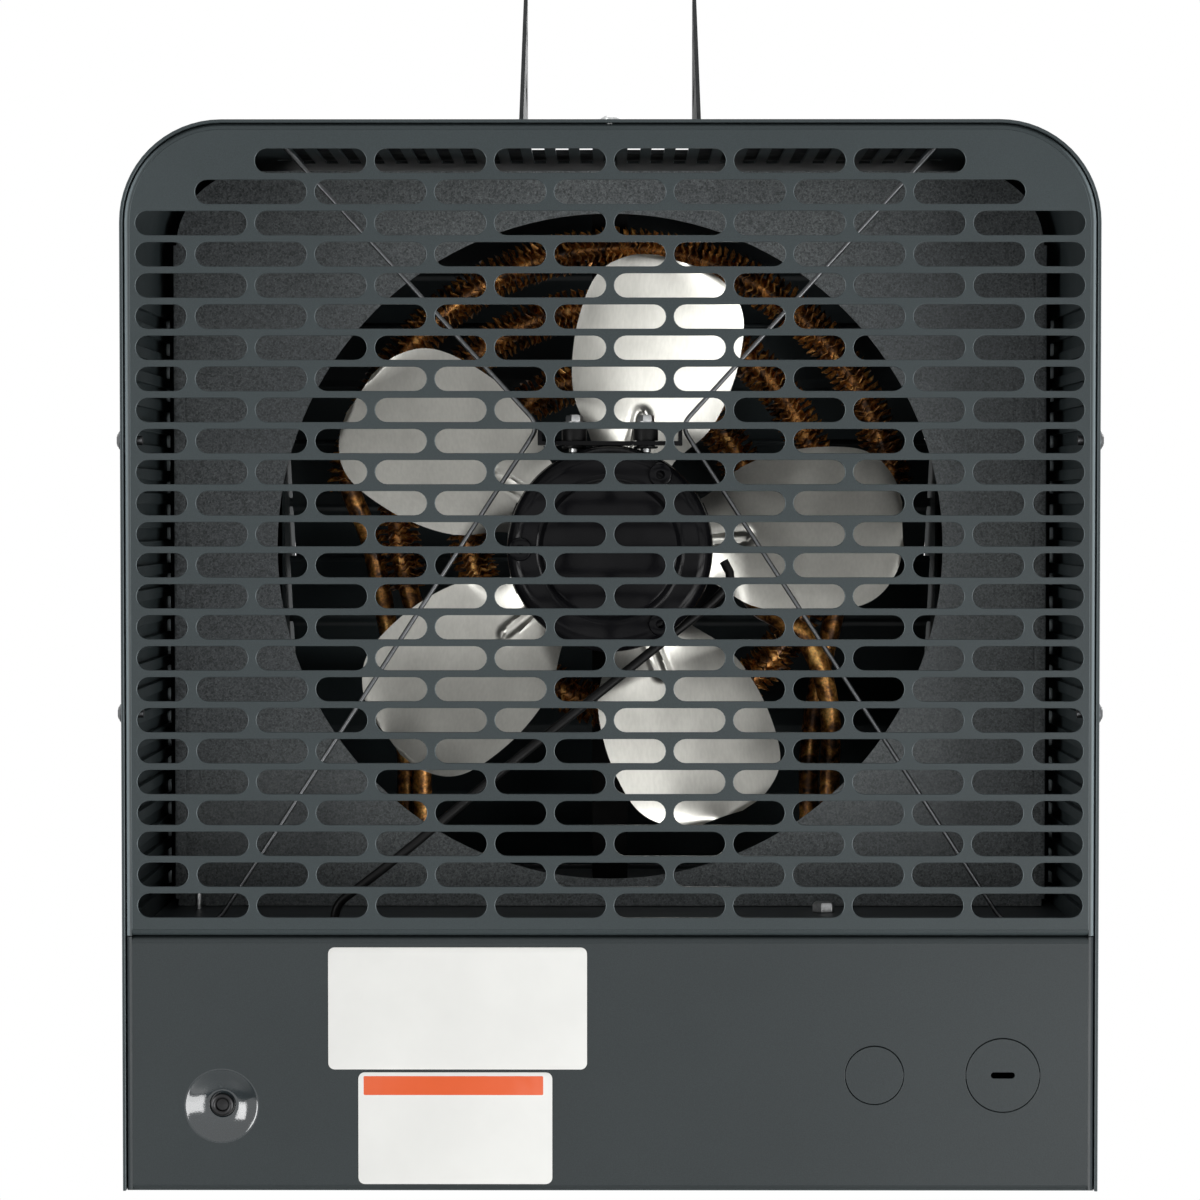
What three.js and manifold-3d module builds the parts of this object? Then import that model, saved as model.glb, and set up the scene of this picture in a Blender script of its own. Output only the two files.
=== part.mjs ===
// A ceiling mounted electric fan heater, in millimetres, +Z up.
// The intake side, with its slotted grille, faces -Y. Air leaves through the louvres towards +Y.
// Everything is laid out with x = 0 on the cabinet's middle, y = 0 on the grille's outer face and
// z = 0 under the cabinet, and the finished group is then moved so that the origin is the middle
// of the hanging pivot, halfway between the two bracket ears.

import * as THREE from "three";
import { mergeVertices } from "three/addons/utils/BufferGeometryUtils.js";
import Module from "manifold-3d";

const wasm = await Module();
wasm.setup();

// ---- driving dimensions ----

const CLEAR = 0.3; // gap between pieces that touch, and round what passes through a hole
const LABEL_GAP = 0.1;

const CABINET = { depth: 254, cornerRadius: 38, sheet: 1.2, besideOrifice: 48, aboveOrifice: 25.5 };
const SEAM_HEIGHT = 95.7; // where the grille meets the cover of the wiring compartment
const SEAM_GAP = 0.4;
const FLANGE_DEPTH = 9; // how far the grille, covers and front frame reach into the wrap
const COVER_TOP_FLANGE = 15;
const PAN_FLANGE = 15;
const SHELF_FLANGE = 12;

const VENT = {
  width: 5.2, near: 16, topFar: 142, topCount: 27, topPitch: 9.6,
  sideNear: 21, sideFar: 130, sideCount: 25, sidePitch: 9.45, sideLowest: 103.6, rise: 2.9, farRise: 1.4,
};

const SLOT = {
  height: 9, bar: 3, edge: 4.5, rows: 25, topRowBelowRoof: 15.3, bottomRowAboveEdge: 11.36,
  halfLength: 19, segments: 2, topCount: 6, oddCount: 7, evenCount: 8,
};

const SCREW = { headRadius: 3.6, crownRadius: 2.5, headHeight: 1.4, shankRadius: 1.8, length: 8 };
const SCREW_HEIGHTS = { upper: 281, lower: 179 };
const DISH = { fromEdge: 37.1, z: 32, rimRadius: 13.5, floorRadius: 6, depth: 3.6 };
const COVER_SCREW = {
  headRadius: 4.3, crownRadius: 3.2, headHeight: 2.6, shankRadius: 2, length: 9, tabWidth: 18, tabTop: 12,
};
const KNOCKOUT = { height: 43.6, groove: 0.8, tabAngle: 24, segments: 6 };
const SMALL_KNOCKOUT = { fromEdge: 83.6, radius: 11.1 };
const LARGE_KNOCKOUT = { fromEdge: 35.6, radius: 14 };
const KNOCKOUT_PRY_SLOT = { width: 9, height: 2.3 };
const LABEL_SHEET = 0.25;
const UPPER_LABEL = { x: -57, z: 68.7, width: 96.8, height: 45.8 };
const LOWER_LABEL = { x: -57.9, z: 23.7, width: 72.6, height: 42 };

const GALVANISED = 1.0; // sheet of the inner panels
const ORIFICE = {
  plane: 105, radius: 134.5, aboveSeam: 9.8, lip: 6, sideInset: 5.7, topInset: 6.7,
  edgeFlange: 10, edgeReturn: 4.5, edgeFoot: 4, footDepth: 10, footInset: 17.5,
};
const LINER = { flange: 8.6, sheet: 0.8 };

const FAN = {
  plane: 110, blades: 5, firstAngle: 4.4, sheet: 1.2,
  pitchAngle: 27, camber: 3, flatRadius: 27, fullPitchRadius: 55,
};
const BLADE_OUTLINE = [ // distance from the axis, then half of the blade's width there
  [16, 13], [27, 14], [40, 17.5], [56, 28.5], [76, 33.3], [96, 33], [108, 29], [116, 19.5], [119.2, 9],
];
const BLADE_COLUMNS = 4;
const HUB = { radius: 11, spigot: 9, flangeRadius: 24, flangeSheet: 2.5, start: 98, end: 118 };

const MOTOR = {
  radius: 39.5, wall: 1.2, rear: 28, front: 84, capRadius: 26, capSlope: 3, capStep: 3, shoulder: 4,
  bearingRadius: 8, bearingLength: 8, bossWall: 1.7,
  ventCount: 8, ventWidth: 7, ventFrom: 31.5, ventDepth: 15,
};
const MOTOR_END_CAP = { sheet: 1.5, bossHeight: 2.2 };
const SHAFT = { radius: 4, start: 31, end: 119, chamfer: 1 };
const STATOR = { start: 52, end: 71, windingInner: 22.5, windingOuter: 35, windingLength: 8.5 };
const AIR_GAP = 0.5;
const ROTOR_RADIUS = 20.8;

const SADDLE = { y: 48, sheet: 1.6, halfWidth: 8, aboveMotor: 0.4, upstand: 7 };
const STUD = { x: 13.8, radius: 2, headRadius: 3.6, headHeight: 3 };
const GROMMET = { flangeRadius: 4.8, waistRadius: 3.6, flange: 1.2, top: 6.7, chamfer: 0.7 };

const ROD = {
  radius: 0.9, apexX: 27.5, aboveSaddle: 5.2, topFromEdge: 54.5, bottomFromEdge: 30.2, bend: 5,
  footLength: 10, sides: 6, steps: 32,
};

const LEAD = { radius: 1.8, sides: 8, steps: 26 };
const LEAD_FROM_MOTOR = [ // its third figure is a height over the fan's axis
  [44.5, 62, -5], [47, 61, -12], [40, 59, -21], [20, 57, -37], [-10, 55, -61], [-45, 53, -89],
  [-75, 51, -114],
];
const LEAD_TO_SHELF = [ // its third figure is a height over the shelf
  [-96, 50, 15.5], [-104, 50, 9.5], [-107, 50, 4], [-107, 50, -4], [-107, 50, -12],
];
const LEAD_GROMMET = { x: -107, y: 50, radius: 5.5, flangeRadius: 7.5, flange: 1.8 };

const TUBE = { radius: 4.25, sides: 6 }; // heating element tube
const FIN = { radius: 9, rootRadius: 6.2 };
const ELEMENT_PLANE = 160;
const OUTER_ELEMENT = { insideOrifice: 19.5, aboveFan: 10, aside: 4, from: 172, to: 8, step: 8.2 };
const OUTER_LEFT_LEG = [ // from its terminal end to the first fin
  [-86.5, 168, 78], [-86.5, 168, 100], [-86.5, 168, 125], [-86.5, 168, 152], [-90.5, 168, 182],
  [-95.5, 168, 212], [-101.5, 166, 242],
];
const OUTER_RIGHT_LEG = [ // from the last fin to its terminal end
  [101.5, 166, 242], [95.5, 168, 212], [88.8, 168, 182], [84.8, 168, 152], [84.8, 168, 125],
  [84.8, 168, 100], [84.8, 168, 78],
];
const LOOP_ELEMENT = { outerInset: 45, innerInset: 74.5, aboveFan: 10.5, step: 14.425 };
const LOOP_ANGLES = { start: 197, shrinkFrom: -60, shrinkTo: -150, end: -380 };
const LOOP_LEFT_LEG = [
  [-79.5, 160, 78], [-79.5, 160, 100], [-79.5, 160, 130], [-79.5, 160, 165], [-79.5, 160, 200],
];
const LOOP_RIGHT_LEG = [
  [61, 153, 216], [70, 144, 210], [80, 141, 203], [88, 141, 188], [92, 142, 168], [92, 146, 145],
  [92, 146, 122], [92, 146, 100], [92, 146, 78],
];
const ELEMENT_SUPPORT = { halfWidth: 7.5, sheet: 1.5, foot: 12 };

const FRONT_OPENING = { sideBorder: 40.5, aboveSeam: 35.3, belowRoof: 14 };
const LOUVRE = {
  count: 5, overlap: 11, sheet: 1.4, hemRadius: 1.3, spineRadius: 3, spineFoot: 4.5,
  hemFrom: -20, hemTo: 140, spineFrom: 55, spineTo: 125, railLength: 46, behindFront: 24,
  endGap: 1.5, pinRadius: 2, pinLength: 5, restAngle: 62,
};

const KNOB = {
  x: 104, height: 50, radius: 19, draft: 1.5, skirtRadius: 21, skirt: 3, length: 16, cap: 3,
  gripWidth: 9, gripDepth: 6,
};
const KNOB_SHAFT = { radius: 3.2, inBody: 11.8 };
const THERMOSTAT = { halfWidth: 20, halfHeight: 18, depth: 28, bush: 12 };
const PILOT = {
  x: 46, radius: 6.5, bezelRadius: 8.5, bezel: 1.6, depth: 18, domeRadius: 3.9, shoulder: 2.4, dome: 3.2,
};

const BRACKET = {
  sheet: 1.6, earInner: 34, earTop: 66, earRear: 58, earFront: 141, tipWidth: 4, tipChamfer: 2, heel: 5,
  baseFront: 146, baseHalfWidth: 142, tie: 27,
};
const PIVOT = { y: 128, above: 48, radius: 4.25 };
const TILT_SLOT = { radius: 26, from: 222, to: 266, width: 6.5, segments: 4 };
const BRACKET_BOLT = {
  fromEnd: 8, rear: 78, front: 130, headRadius: 5, headHeight: 4, shankRadius: 2.9, length: 3.2, headSides: 6,
};

const TERMINAL_BLOCK = {
  fromEdge: 54.5, y: 72, width: 62, depth: 24, height: 20, wall: 2.5, ways: 3, bayFloor: 11,
};
const RELAY = {
  x: -30, y: 120, width: 60, depth: 56, height: 48, cheek: 12, cheekTop: 33.6, base: 6, lug: 4,
};
const LIMIT = { fromEdge: 54.5, belowRoof: 50, radius: 11, earHalf: 17, height: 10, sheet: 1.2 };

const ORIFICE_ROUND = 40; // segments of the round pieces
const ROUND = 24;
const INSIDE_ROUND = 16;
const SMALL_ROUND = 8;

// ---- places that follow from the driving dimensions ----

const FAN_HEIGHT = SEAM_HEIGHT + ORIFICE.aboveSeam + ORIFICE.radius;
const OUTER_HALF = ORIFICE.radius + CABINET.besideOrifice;
const INNER_HALF = OUTER_HALF - CABINET.sheet;
const ROOF = FAN_HEIGHT + ORIFICE.radius + CABINET.aboveOrifice;
const CEILING = ROOF - CABINET.sheet; // underside of the roof
const PANEL_HALF = INNER_HALF - CLEAR; // half width of the panels inside the wrap
const PANEL_TOP = CEILING - CLEAR;
const PANEL_RADIUS = CABINET.cornerRadius - CABINET.sheet - CLEAR;
const GRILLE_BOTTOM = SEAM_HEIGHT + SEAM_GAP / 2;
const SLOT_PITCH = (2 * (PANEL_HALF - SLOT.edge) + SLOT.bar) / SLOT.evenCount;
const SLOT_LENGTH = SLOT_PITCH - SLOT.bar;
const TOP_ROW = ROOF - SLOT.topRowBelowRoof;
const ROW_PITCH = (TOP_ROW - GRILLE_BOTTOM - SLOT.bottomRowAboveEdge) / (SLOT.rows - 1);
const COVER_TOP = SEAM_HEIGHT - SEAM_GAP / 2;
const COVER_BOTTOM = CLEAR;
const SHELF_TOP = COVER_TOP - CABINET.sheet - CLEAR;
const SHELF_BOTTOM = SHELF_TOP - CABINET.sheet;
const ON_SHELF = SHELF_TOP + CLEAR;
const FLOOR = CABINET.sheet + CLEAR; // on the base pan
const BEHIND_PANEL = CABINET.sheet + CLEAR;
const FRONT_SHEET = CABINET.depth - CABINET.sheet; // inner face of the front panels
const FAN_BORE = HUB.spigot + CLEAR;
const SHAFT_BORE = SHAFT.radius + CLEAR;
const MOTOR_TOP = FAN_HEIGHT + MOTOR.radius;
const SADDLE_BOTTOM = MOTOR_TOP + SADDLE.aboveMotor;
const SADDLE_TOP = SADDLE_BOTTOM + SADDLE.sheet;
const DISH_X = DISH.fromEdge - OUTER_HALF;
const ORIFICE_HALF = PANEL_HALF - ORIFICE.sideInset;
const ORIFICE_TOP = PANEL_TOP - ORIFICE.topInset;
const ORIFICE_CORNER = PANEL_RADIUS - ORIFICE.sideInset;
const LINER_INSET = CLEAR + LINER.flange - LINER.sheet;
const LINER_TOP = ORIFICE_TOP - LINER_INSET;
const OPENING_HALF = OUTER_HALF - FRONT_OPENING.sideBorder;
const OPENING_BOTTOM = SEAM_HEIGHT + FRONT_OPENING.aboveSeam;
const OPENING_TOP = ROOF - FRONT_OPENING.belowRoof;
const LOUVRE_PITCH = (OPENING_TOP - OPENING_BOTTOM) / LOUVRE.count;
const RAIL_START = CABINET.depth - LOUVRE.railLength;
const LINER_END = RAIL_START - CLEAR;
const LOUVRE_PLANE = CABINET.depth - LOUVRE.behindFront;
const KNOB_BASE = CABINET.depth + 2 * CLEAR;
const BRACKET_BOTTOM = ROOF + CLEAR;
const BRACKET_TOP = BRACKET_BOTTOM + BRACKET.sheet;

// ---- materials ----

function metal(color, roughness, metalness) {
  return new THREE.MeshStandardMaterial({ color, roughness, metalness });
}

const MATERIALS = {
  slatePaint: metal(0x5b696c, 0.5, 0.3),
  darkPaint: metal(0x44494b, 0.45, 0.3),
  galvanised: metal(0x8f9694, 0.45, 0.8),
  aluminium: metal(0xc9c8c2, 0.25, 1),
  zinc: metal(0xb4b6b4, 0.35, 0.9),
  blackEnamel: metal(0x17181a, 0.25, 0.3),
  lamination: metal(0x55585a, 0.5, 0.8),
  copper: metal(0x8a5a34, 0.4, 0.9),
  steelShaft: metal(0x9a9c9e, 0.25, 1),
  bronze: metal(0x9a7b46, 0.4, 0.9),
  rubber: metal(0x1b1b1c, 0.8, 0),
  blackPlastic: metal(0x202224, 0.5, 0),
  phenolic: metal(0x2b2522, 0.6, 0),
  redLens: metal(0xb02018, 0.15, 0),
  label: metal(0xf2f2f0, 0.6, 0),
};

// ---- solids ----

function solidOf(geometry) {
  const bare = geometry.index ? geometry.clone() : geometry;
  bare.deleteAttribute("normal");
  bare.deleteAttribute("uv");
  const merged = mergeVertices(bare, 1e-4);
  const mesh = new wasm.Mesh({
    numProp: 3,
    vertProperties: new Float32Array(merged.attributes.position.array),
    triVerts: new Uint32Array(merged.index.array),
  });
  mesh.merge();
  return new wasm.Manifold(mesh);
}

function geometryOf(manifold) {
  const mesh = manifold.getMesh();
  const geometry = new THREE.BufferGeometry();
  geometry.setAttribute("position", new THREE.BufferAttribute(mesh.vertProperties, 3));
  geometry.setIndex(new THREE.BufferAttribute(mesh.triVerts, 1));
  geometry.computeVertexNormals();
  return geometry;
}

function join(...geometries) {
  return wasm.Manifold.union(geometries.map(solidOf));
}

function cut(base, ...tools) {
  return base.subtract(wasm.Manifold.union(tools.map(solidOf)));
}

function box(xRange, yRange, zRange) {
  const [x0, x1] = xRange;
  const [y0, y1] = yRange;
  const [z0, z1] = zRange;
  const geometry = new THREE.BoxGeometry(x1 - x0, y1 - y0, z1 - z0);
  return geometry.translate((x0 + x1) / 2, (y0 + y1) / 2, (z0 + z1) / 2);
}

function rodAlongY(radius, y0, y1, x, z, segments = SMALL_ROUND) {
  const geometry = new THREE.CylinderGeometry(radius, radius, y1 - y0, segments);
  return geometry.translate(x, (y0 + y1) / 2, z);
}

function rodAlongX(radius, x0, x1, y, z, segments = SMALL_ROUND) {
  const geometry = new THREE.CylinderGeometry(radius, radius, x1 - x0, segments);
  return geometry.rotateZ(Math.PI / 2).translate((x0 + x1) / 2, y, z);
}

function rodAlongZ(radius, z0, z1, x, y, segments = SMALL_ROUND) {
  const geometry = new THREE.CylinderGeometry(radius, radius, z1 - z0, segments);
  return geometry.rotateX(Math.PI / 2).translate(x, y, (z0 + z1) / 2);
}

// a turned piece round Y; its profile runs either way round
function turned(profile, segments) {
  const points = profile.map(([radius, along]) => new THREE.Vector2(radius, along));
  return new THREE.LatheGeometry(THREE.ShapeUtils.isClockWise(points) ? points.reverse() : points, segments);
}

function turnedAlongY(profile, x, z, segments = ROUND) {
  return turned(profile, segments).translate(x, 0, z);
}

function turnedAlongZ(profile, x, y, segments = SMALL_ROUND) {
  return turned(profile, segments).rotateX(Math.PI / 2).translate(x, y, 0);
}

function shapeOf(points, holes = []) {
  const shape = new THREE.Shape(points.map(([u, v]) => new THREE.Vector2(u, v)));
  shape.holes = holes.map((hole) => new THREE.Path(hole.map(([u, v]) => new THREE.Vector2(u, v))));
  return shape;
}

function extruded(points, holes, depth) {
  return new THREE.ExtrudeGeometry(shapeOf(points, holes), { depth, bevelEnabled: false, steps: 1 });
}

// a plate whose outline is drawn in x and z, as seen from the intake side
function plateFacingY(points, holes, y0, y1) {
  return extruded(points, holes, y1 - y0).rotateX(Math.PI / 2).translate(0, y1, 0);
}

// a plate whose outline is drawn in x and y, as seen from above
function plateFacingZ(points, holes, z0, z1) {
  return extruded(points, holes, z1 - z0).translate(0, 0, z0);
}

// a plate whose outline is drawn in y and z
function plateFacingX(points, holes, x0, x1) {
  const turn = new THREE.Matrix4().makeBasis(
    new THREE.Vector3(0, 1, 0), new THREE.Vector3(0, 0, 1), new THREE.Vector3(1, 0, 0));
  return extruded(points, holes, x1 - x0).applyMatrix4(turn).translate(x0, 0, 0);
}

// ---- outlines ----

function arc(u, v, radius, from, to, segments) {
  return Array.from({ length: segments + 1 }, (unused, i) => {
    const angle = THREE.MathUtils.degToRad(from + ((to - from) * i) / segments);
    return [u + radius * Math.cos(angle), v + radius * Math.sin(angle)];
  });
}

function circle(u, v, radius, segments = SMALL_ROUND) {
  return arc(u, v, radius, 0, 360, segments).slice(0, segments);
}

function rectangle(u0, u1, v0, v1) {
  return [[u0, v0], [u1, v0], [u1, v1], [u0, v1]];
}

// a slot with round ends, longer along u
function wideSlot(u, v, length, height, segments) {
  const reach = (length - height) / 2;
  return [
    ...arc(u + reach, v, height / 2, -90, 90, segments),
    ...arc(u - reach, v, height / 2, 90, 270, segments),
  ];
}

// a bent groove with square ends round a centre
function arcGroove(u, v, radius, width, from, to, segments) {
  return [
    ...arc(u, v, radius + width / 2, from, to, segments),
    ...arc(u, v, radius - width / 2, to, from, segments),
  ];
}

// the cabinet's outline with its two round upper corners
function archOutline(half, bottom, top, radius, segments = 8) {
  return [
    [-half, bottom],
    [half, bottom],
    ...arc(half - radius, top - radius, radius, 0, 90, segments),
    ...arc(radius - half, top - radius, radius, 90, 180, segments),
  ];
}

// the same outline as a band, open at the bottom
function archBand(half, bottom, top, radius, thickness, segments = 8) {
  const outside = archOutline(half, bottom, top, radius, segments);
  const inside = archOutline(half - thickness, bottom, top - thickness, radius - thickness, segments);
  return [...outside.slice(1), outside[0], inside[0], ...inside.slice(1).reverse()];
}

// ---- tubes ----

function vector([x, y, z]) {
  return new THREE.Vector3(x, y, z);
}

// a closed tube through rings of any radius; the path never runs along Y
function ringedTube(stations, sides) {
  const positions = [];
  const indices = [];
  const depth = new THREE.Vector3(0, 1, 0);
  for (const { point, tangent, radius } of stations) {
    const across = new THREE.Vector3().crossVectors(tangent, depth).normalize();
    const along = new THREE.Vector3().crossVectors(tangent, across).normalize();
    for (let i = 0; i < sides; i += 1) {
      const angle = (2 * Math.PI * i) / sides;
      const offset = across.clone().multiplyScalar(radius * Math.cos(angle));
      offset.addScaledVector(along, radius * Math.sin(angle));
      positions.push(...point.clone().add(offset).toArray());
    }
  }
  const last = stations.length - 1;
  for (let ring = 0; ring < last; ring += 1) {
    for (let i = 0; i < sides; i += 1) {
      const a = ring * sides + i;
      const b = ring * sides + ((i + 1) % sides);
      indices.push(a, b, b + sides, a, b + sides, a + sides);
    }
  }
  for (let i = 1; i < sides - 1; i += 1) {
    indices.push(0, i + 1, i);
    indices.push(last * sides, last * sides + i, last * sides + i + 1);
  }
  const geometry = new THREE.BufferGeometry();
  geometry.setAttribute("position", new THREE.Float32BufferAttribute(positions, 3));
  geometry.setIndex(indices);
  return geometry;
}

// a heating element: a plain tube whose stretch between two of its points carries fins
function finnedTube(points, firstFinned, lastFinned) {
  const curve = new THREE.CatmullRomCurve3(points.map(vector), false, "centripetal");
  const spans = points.length - 1;
  const stations = [];
  for (let half = 0; half <= spans * 2; half += 1) {
    const index = half / 2;
    const finned = index > firstFinned && index < lastFinned;
    const crest = finned && half % 2 === 1;
    const radius = crest ? FIN.radius : finned ? FIN.rootRadius : TUBE.radius;
    const t = index / spans;
    stations.push({ point: curve.getPoint(t), tangent: curve.getTangent(t), radius });
  }
  return ringedTube(stations, TUBE.sides);
}

function roundedPath(points, bend) {
  const path = new THREE.CurvePath();
  let from = points[0];
  for (let i = 1; i < points.length - 1; i += 1) {
    const corner = points[i];
    const before = corner.clone().add(points[i - 1].clone().sub(corner).setLength(bend));
    const after = corner.clone().add(points[i + 1].clone().sub(corner).setLength(bend));
    path.add(new THREE.LineCurve3(from, before));
    path.add(new THREE.QuadraticBezierCurve3(before, corner, after));
    from = after;
  }
  path.add(new THREE.LineCurve3(from, points[points.length - 1]));
  return path;
}

function tubeAlong(path, radius, sides, steps) {
  return new THREE.ExtrudeGeometry(shapeOf(circle(0, 0, radius, sides)), { extrudePath: path, steps });
}

// ---- the group ----

const heater = new THREE.Group();
heater.name = "fan_heater";

function add(name, form, material, parent = heater) {
  const geometry = form instanceof THREE.BufferGeometry ? form : geometryOf(form);
  const mesh = new THREE.Mesh(geometry, material);
  mesh.name = name;
  parent.add(mesh);
  return mesh;
}

// ---- cabinet ----

function screwPlaces() {
  const y = FLANGE_DEPTH / 2 + CABINET.sheet / 2;
  const sides = [["left", -1], ["right", 1]].flatMap(([side, sign]) =>
    Object.entries(SCREW_HEIGHTS).map(([height, z]) => ({ name: `${side}_${height}`, sign, y, z })));
  return { sides, roof: { name: "top", y } };
}

// the outside of the hood over a side vent
function ventHood(sign, [bottom, top]) {
  const { sideNear, sideFar, rise, farRise } = VENT;
  const root = OUTER_HALF - CABINET.sheet / 2;
  const end = sideFar + CABINET.sheet;
  const outline = [[root, sideNear], [OUTER_HALF + rise, sideNear], [OUTER_HALF + farRise, end], [root, end]];
  const tall = [bottom - CABINET.sheet, top + CABINET.sheet];
  return plateFacingZ(outline.map(([x, y]) => [sign * x, y]), [], ...tall);
}

function ventHollow(sign, tall, through) {
  const { sideNear, sideFar, rise, farRise } = VENT;
  const outline = [
    [INNER_HALF - through, sideNear], [OUTER_HALF, sideNear], [OUTER_HALF, sideNear - through],
    [INNER_HALF + rise, sideNear - through], [INNER_HALF + rise, sideNear],
    [INNER_HALF + farRise, sideFar],
    [INNER_HALF - through, sideFar],
  ];
  return plateFacingZ(outline.map(([x, y]) => [sign * x, y]), [], ...tall);
}

function buildWrap() {
  const depth = [0, CABINET.depth];
  const band = archBand(OUTER_HALF, 0, ROOF, CABINET.cornerRadius, CABINET.sheet);
  const through = 3 * CABINET.sheet;
  const half = VENT.width / 2;
  const tools = [];
  const hoods = [];
  for (let i = 0; i < VENT.topCount; i += 1) {
    const x = (i - (VENT.topCount - 1) / 2) * VENT.topPitch;
    tools.push(box([x - half, x + half], [VENT.near, VENT.topFar], [CEILING - through, ROOF + through]));
  }
  for (let i = 0; i < VENT.sideCount; i += 1) {
    const z = VENT.sideLowest + i * VENT.sidePitch;
    const tall = [z - half, z + half];
    for (const sign of [-1, 1]) {
      hoods.push(ventHood(sign, tall));
      tools.push(ventHollow(sign, tall, through));
    }
  }
  const places = screwPlaces();
  const hole = SCREW.shankRadius + CLEAR;
  for (const { sign, y, z } of places.sides) {
    const x = sign * OUTER_HALF;
    tools.push(rodAlongX(hole, x - through, x + through, y, z));
  }
  tools.push(rodAlongZ(hole, ROOF - through, ROOF + through, 0, places.roof.y));
  for (const [x, y] of boltPlaces()) {
    const bore = BRACKET_BOLT.shankRadius + CLEAR;
    tools.push(rodAlongZ(bore, ROOF - through, ROOF + through, x, y));
  }
  return cut(join(plateFacingY(band, [], ...depth), ...hoods), ...tools);
}

function buildScrews() {
  const places = screwPlaces();
  const shape = [
    [0, 0], [SCREW.shankRadius, 0], [SCREW.shankRadius, SCREW.length], [SCREW.headRadius, SCREW.length],
    [SCREW.crownRadius, SCREW.length + SCREW.headHeight], [0, SCREW.length + SCREW.headHeight],
  ];
  const seat = SCREW.length - CLEAR;
  for (const { name, sign, y, z } of places.sides) {
    const mesh = add(`grille_screw_${name}`, turnedAlongZ(shape, 0, 0), MATERIALS.zinc);
    mesh.rotation.y = (sign * Math.PI) / 2;
    mesh.position.set(sign * (OUTER_HALF - seat), y, z);
  }
  const top = add(`grille_screw_${places.roof.name}`, turnedAlongZ(shape, 0, 0), MATERIALS.zinc);
  top.position.set(0, places.roof.y, ROOF - seat);
}

function slotRow(index) {
  const z = TOP_ROW - index * ROW_PITCH;
  const odd = index % 2 === 1;
  const full = index === 0 ? SLOT.topCount : odd ? SLOT.oddCount : SLOT.evenCount;
  const slots = [];
  for (let i = 0; i < full; i += 1) {
    const x = (i - (full - 1) / 2) * SLOT_PITCH;
    slots.push(wideSlot(x, z, SLOT_LENGTH, SLOT.height, SLOT.segments));
  }
  if (odd && index > 1) {
    const edge = (SLOT.oddCount * SLOT_PITCH + SLOT_LENGTH) / 2;
    for (const sign of [-1, 1]) {
      const x = sign * (edge - SLOT.halfLength / 2);
      slots.push(wideSlot(x, z, SLOT.halfLength, SLOT.height, SLOT.segments));
    }
  }
  return slots;
}

// the two turned-in edges of a panel that stands inside the wrap
function sideFlanges(yRange, zRange, thickness = CABINET.sheet, half = PANEL_HALF) {
  return [
    box([-half, thickness - half], yRange, zRange),
    box([half - thickness, half], yRange, zRange),
  ];
}

function buildGrille() {
  const outline = archOutline(PANEL_HALF, GRILLE_BOTTOM, PANEL_TOP, PANEL_RADIUS);
  const slots = Array.from({ length: SLOT.rows }, (unused, index) => slotRow(index)).flat();
  const inside = [CABINET.sheet / 2, FLANGE_DEPTH];
  const edge = PANEL_HALF - PANEL_RADIUS;
  const plate = join(
    plateFacingY(outline, slots, 0, CABINET.sheet),
    ...sideFlanges(inside, [GRILLE_BOTTOM, PANEL_TOP - PANEL_RADIUS]),
    box([-edge, edge], inside, [PANEL_TOP - CABINET.sheet, PANEL_TOP]),
    box([-PANEL_HALF, PANEL_HALF], inside, [GRILLE_BOTTOM, GRILLE_BOTTOM + CABINET.sheet]),
  );
  const places = screwPlaces();
  const hole = SCREW.shankRadius + CLEAR;
  const reach = 2 * CABINET.sheet;
  return cut(
    plate,
    ...places.sides.map(({ sign, y, z }) =>
      rodAlongX(hole, sign * PANEL_HALF - reach, sign * PANEL_HALF + reach, y, z)),
    rodAlongZ(hole, PANEL_TOP - reach, PANEL_TOP + reach, 0, places.roof.y),
  );
}

function knockoutGrooves({ fromEdge, radius }) {
  const x = OUTER_HALF - fromEdge;
  const tab = KNOCKOUT.tabAngle / 2;
  return [[tab, 180 - tab], [180 + tab, 360 - tab]].map(([from, to]) =>
    arcGroove(x, KNOCKOUT.height, radius, KNOCKOUT.groove, from, to, KNOCKOUT.segments));
}

function buildRearCover() {
  const { width, height } = KNOCKOUT_PRY_SLOT;
  const pry = wideSlot(OUTER_HALF - LARGE_KNOCKOUT.fromEdge, KNOCKOUT.height, width, height, SLOT.segments);
  const holes = [
    circle(DISH_X, DISH.z, DISH.rimRadius - CLEAR, ROUND),
    ...knockoutGrooves(SMALL_KNOCKOUT),
    ...knockoutGrooves(LARGE_KNOCKOUT),
    pry,
  ];
  const outline = rectangle(-PANEL_HALF, PANEL_HALF, COVER_BOTTOM, COVER_TOP);
  const inside = [CABINET.sheet / 2, FLANGE_DEPTH];
  const hole = COVER_SCREW.shankRadius + CLEAR;
  const outerRim = DISH.rimRadius + CABINET.sheet;
  const back = DISH.depth + CABINET.sheet;
  const dish = turnedAlongY([
    [outerRim, 0], [DISH.rimRadius, 0], [DISH.floorRadius, DISH.depth], [hole, DISH.depth],
    [hole, back], [DISH.floorRadius + CABINET.sheet, back], [outerRim, CABINET.sheet], [outerRim, 0],
  ], DISH_X, DISH.z);
  const topFlange = [CABINET.sheet / 2, COVER_TOP_FLANGE];
  return join(
    plateFacingY(outline, holes, 0, CABINET.sheet),
    dish,
    ...sideFlanges(inside, [FLOOR, COVER_TOP]),
    box([-PANEL_HALF, PANEL_HALF], topFlange, [COVER_TOP - CABINET.sheet, COVER_TOP]),
  );
}

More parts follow.
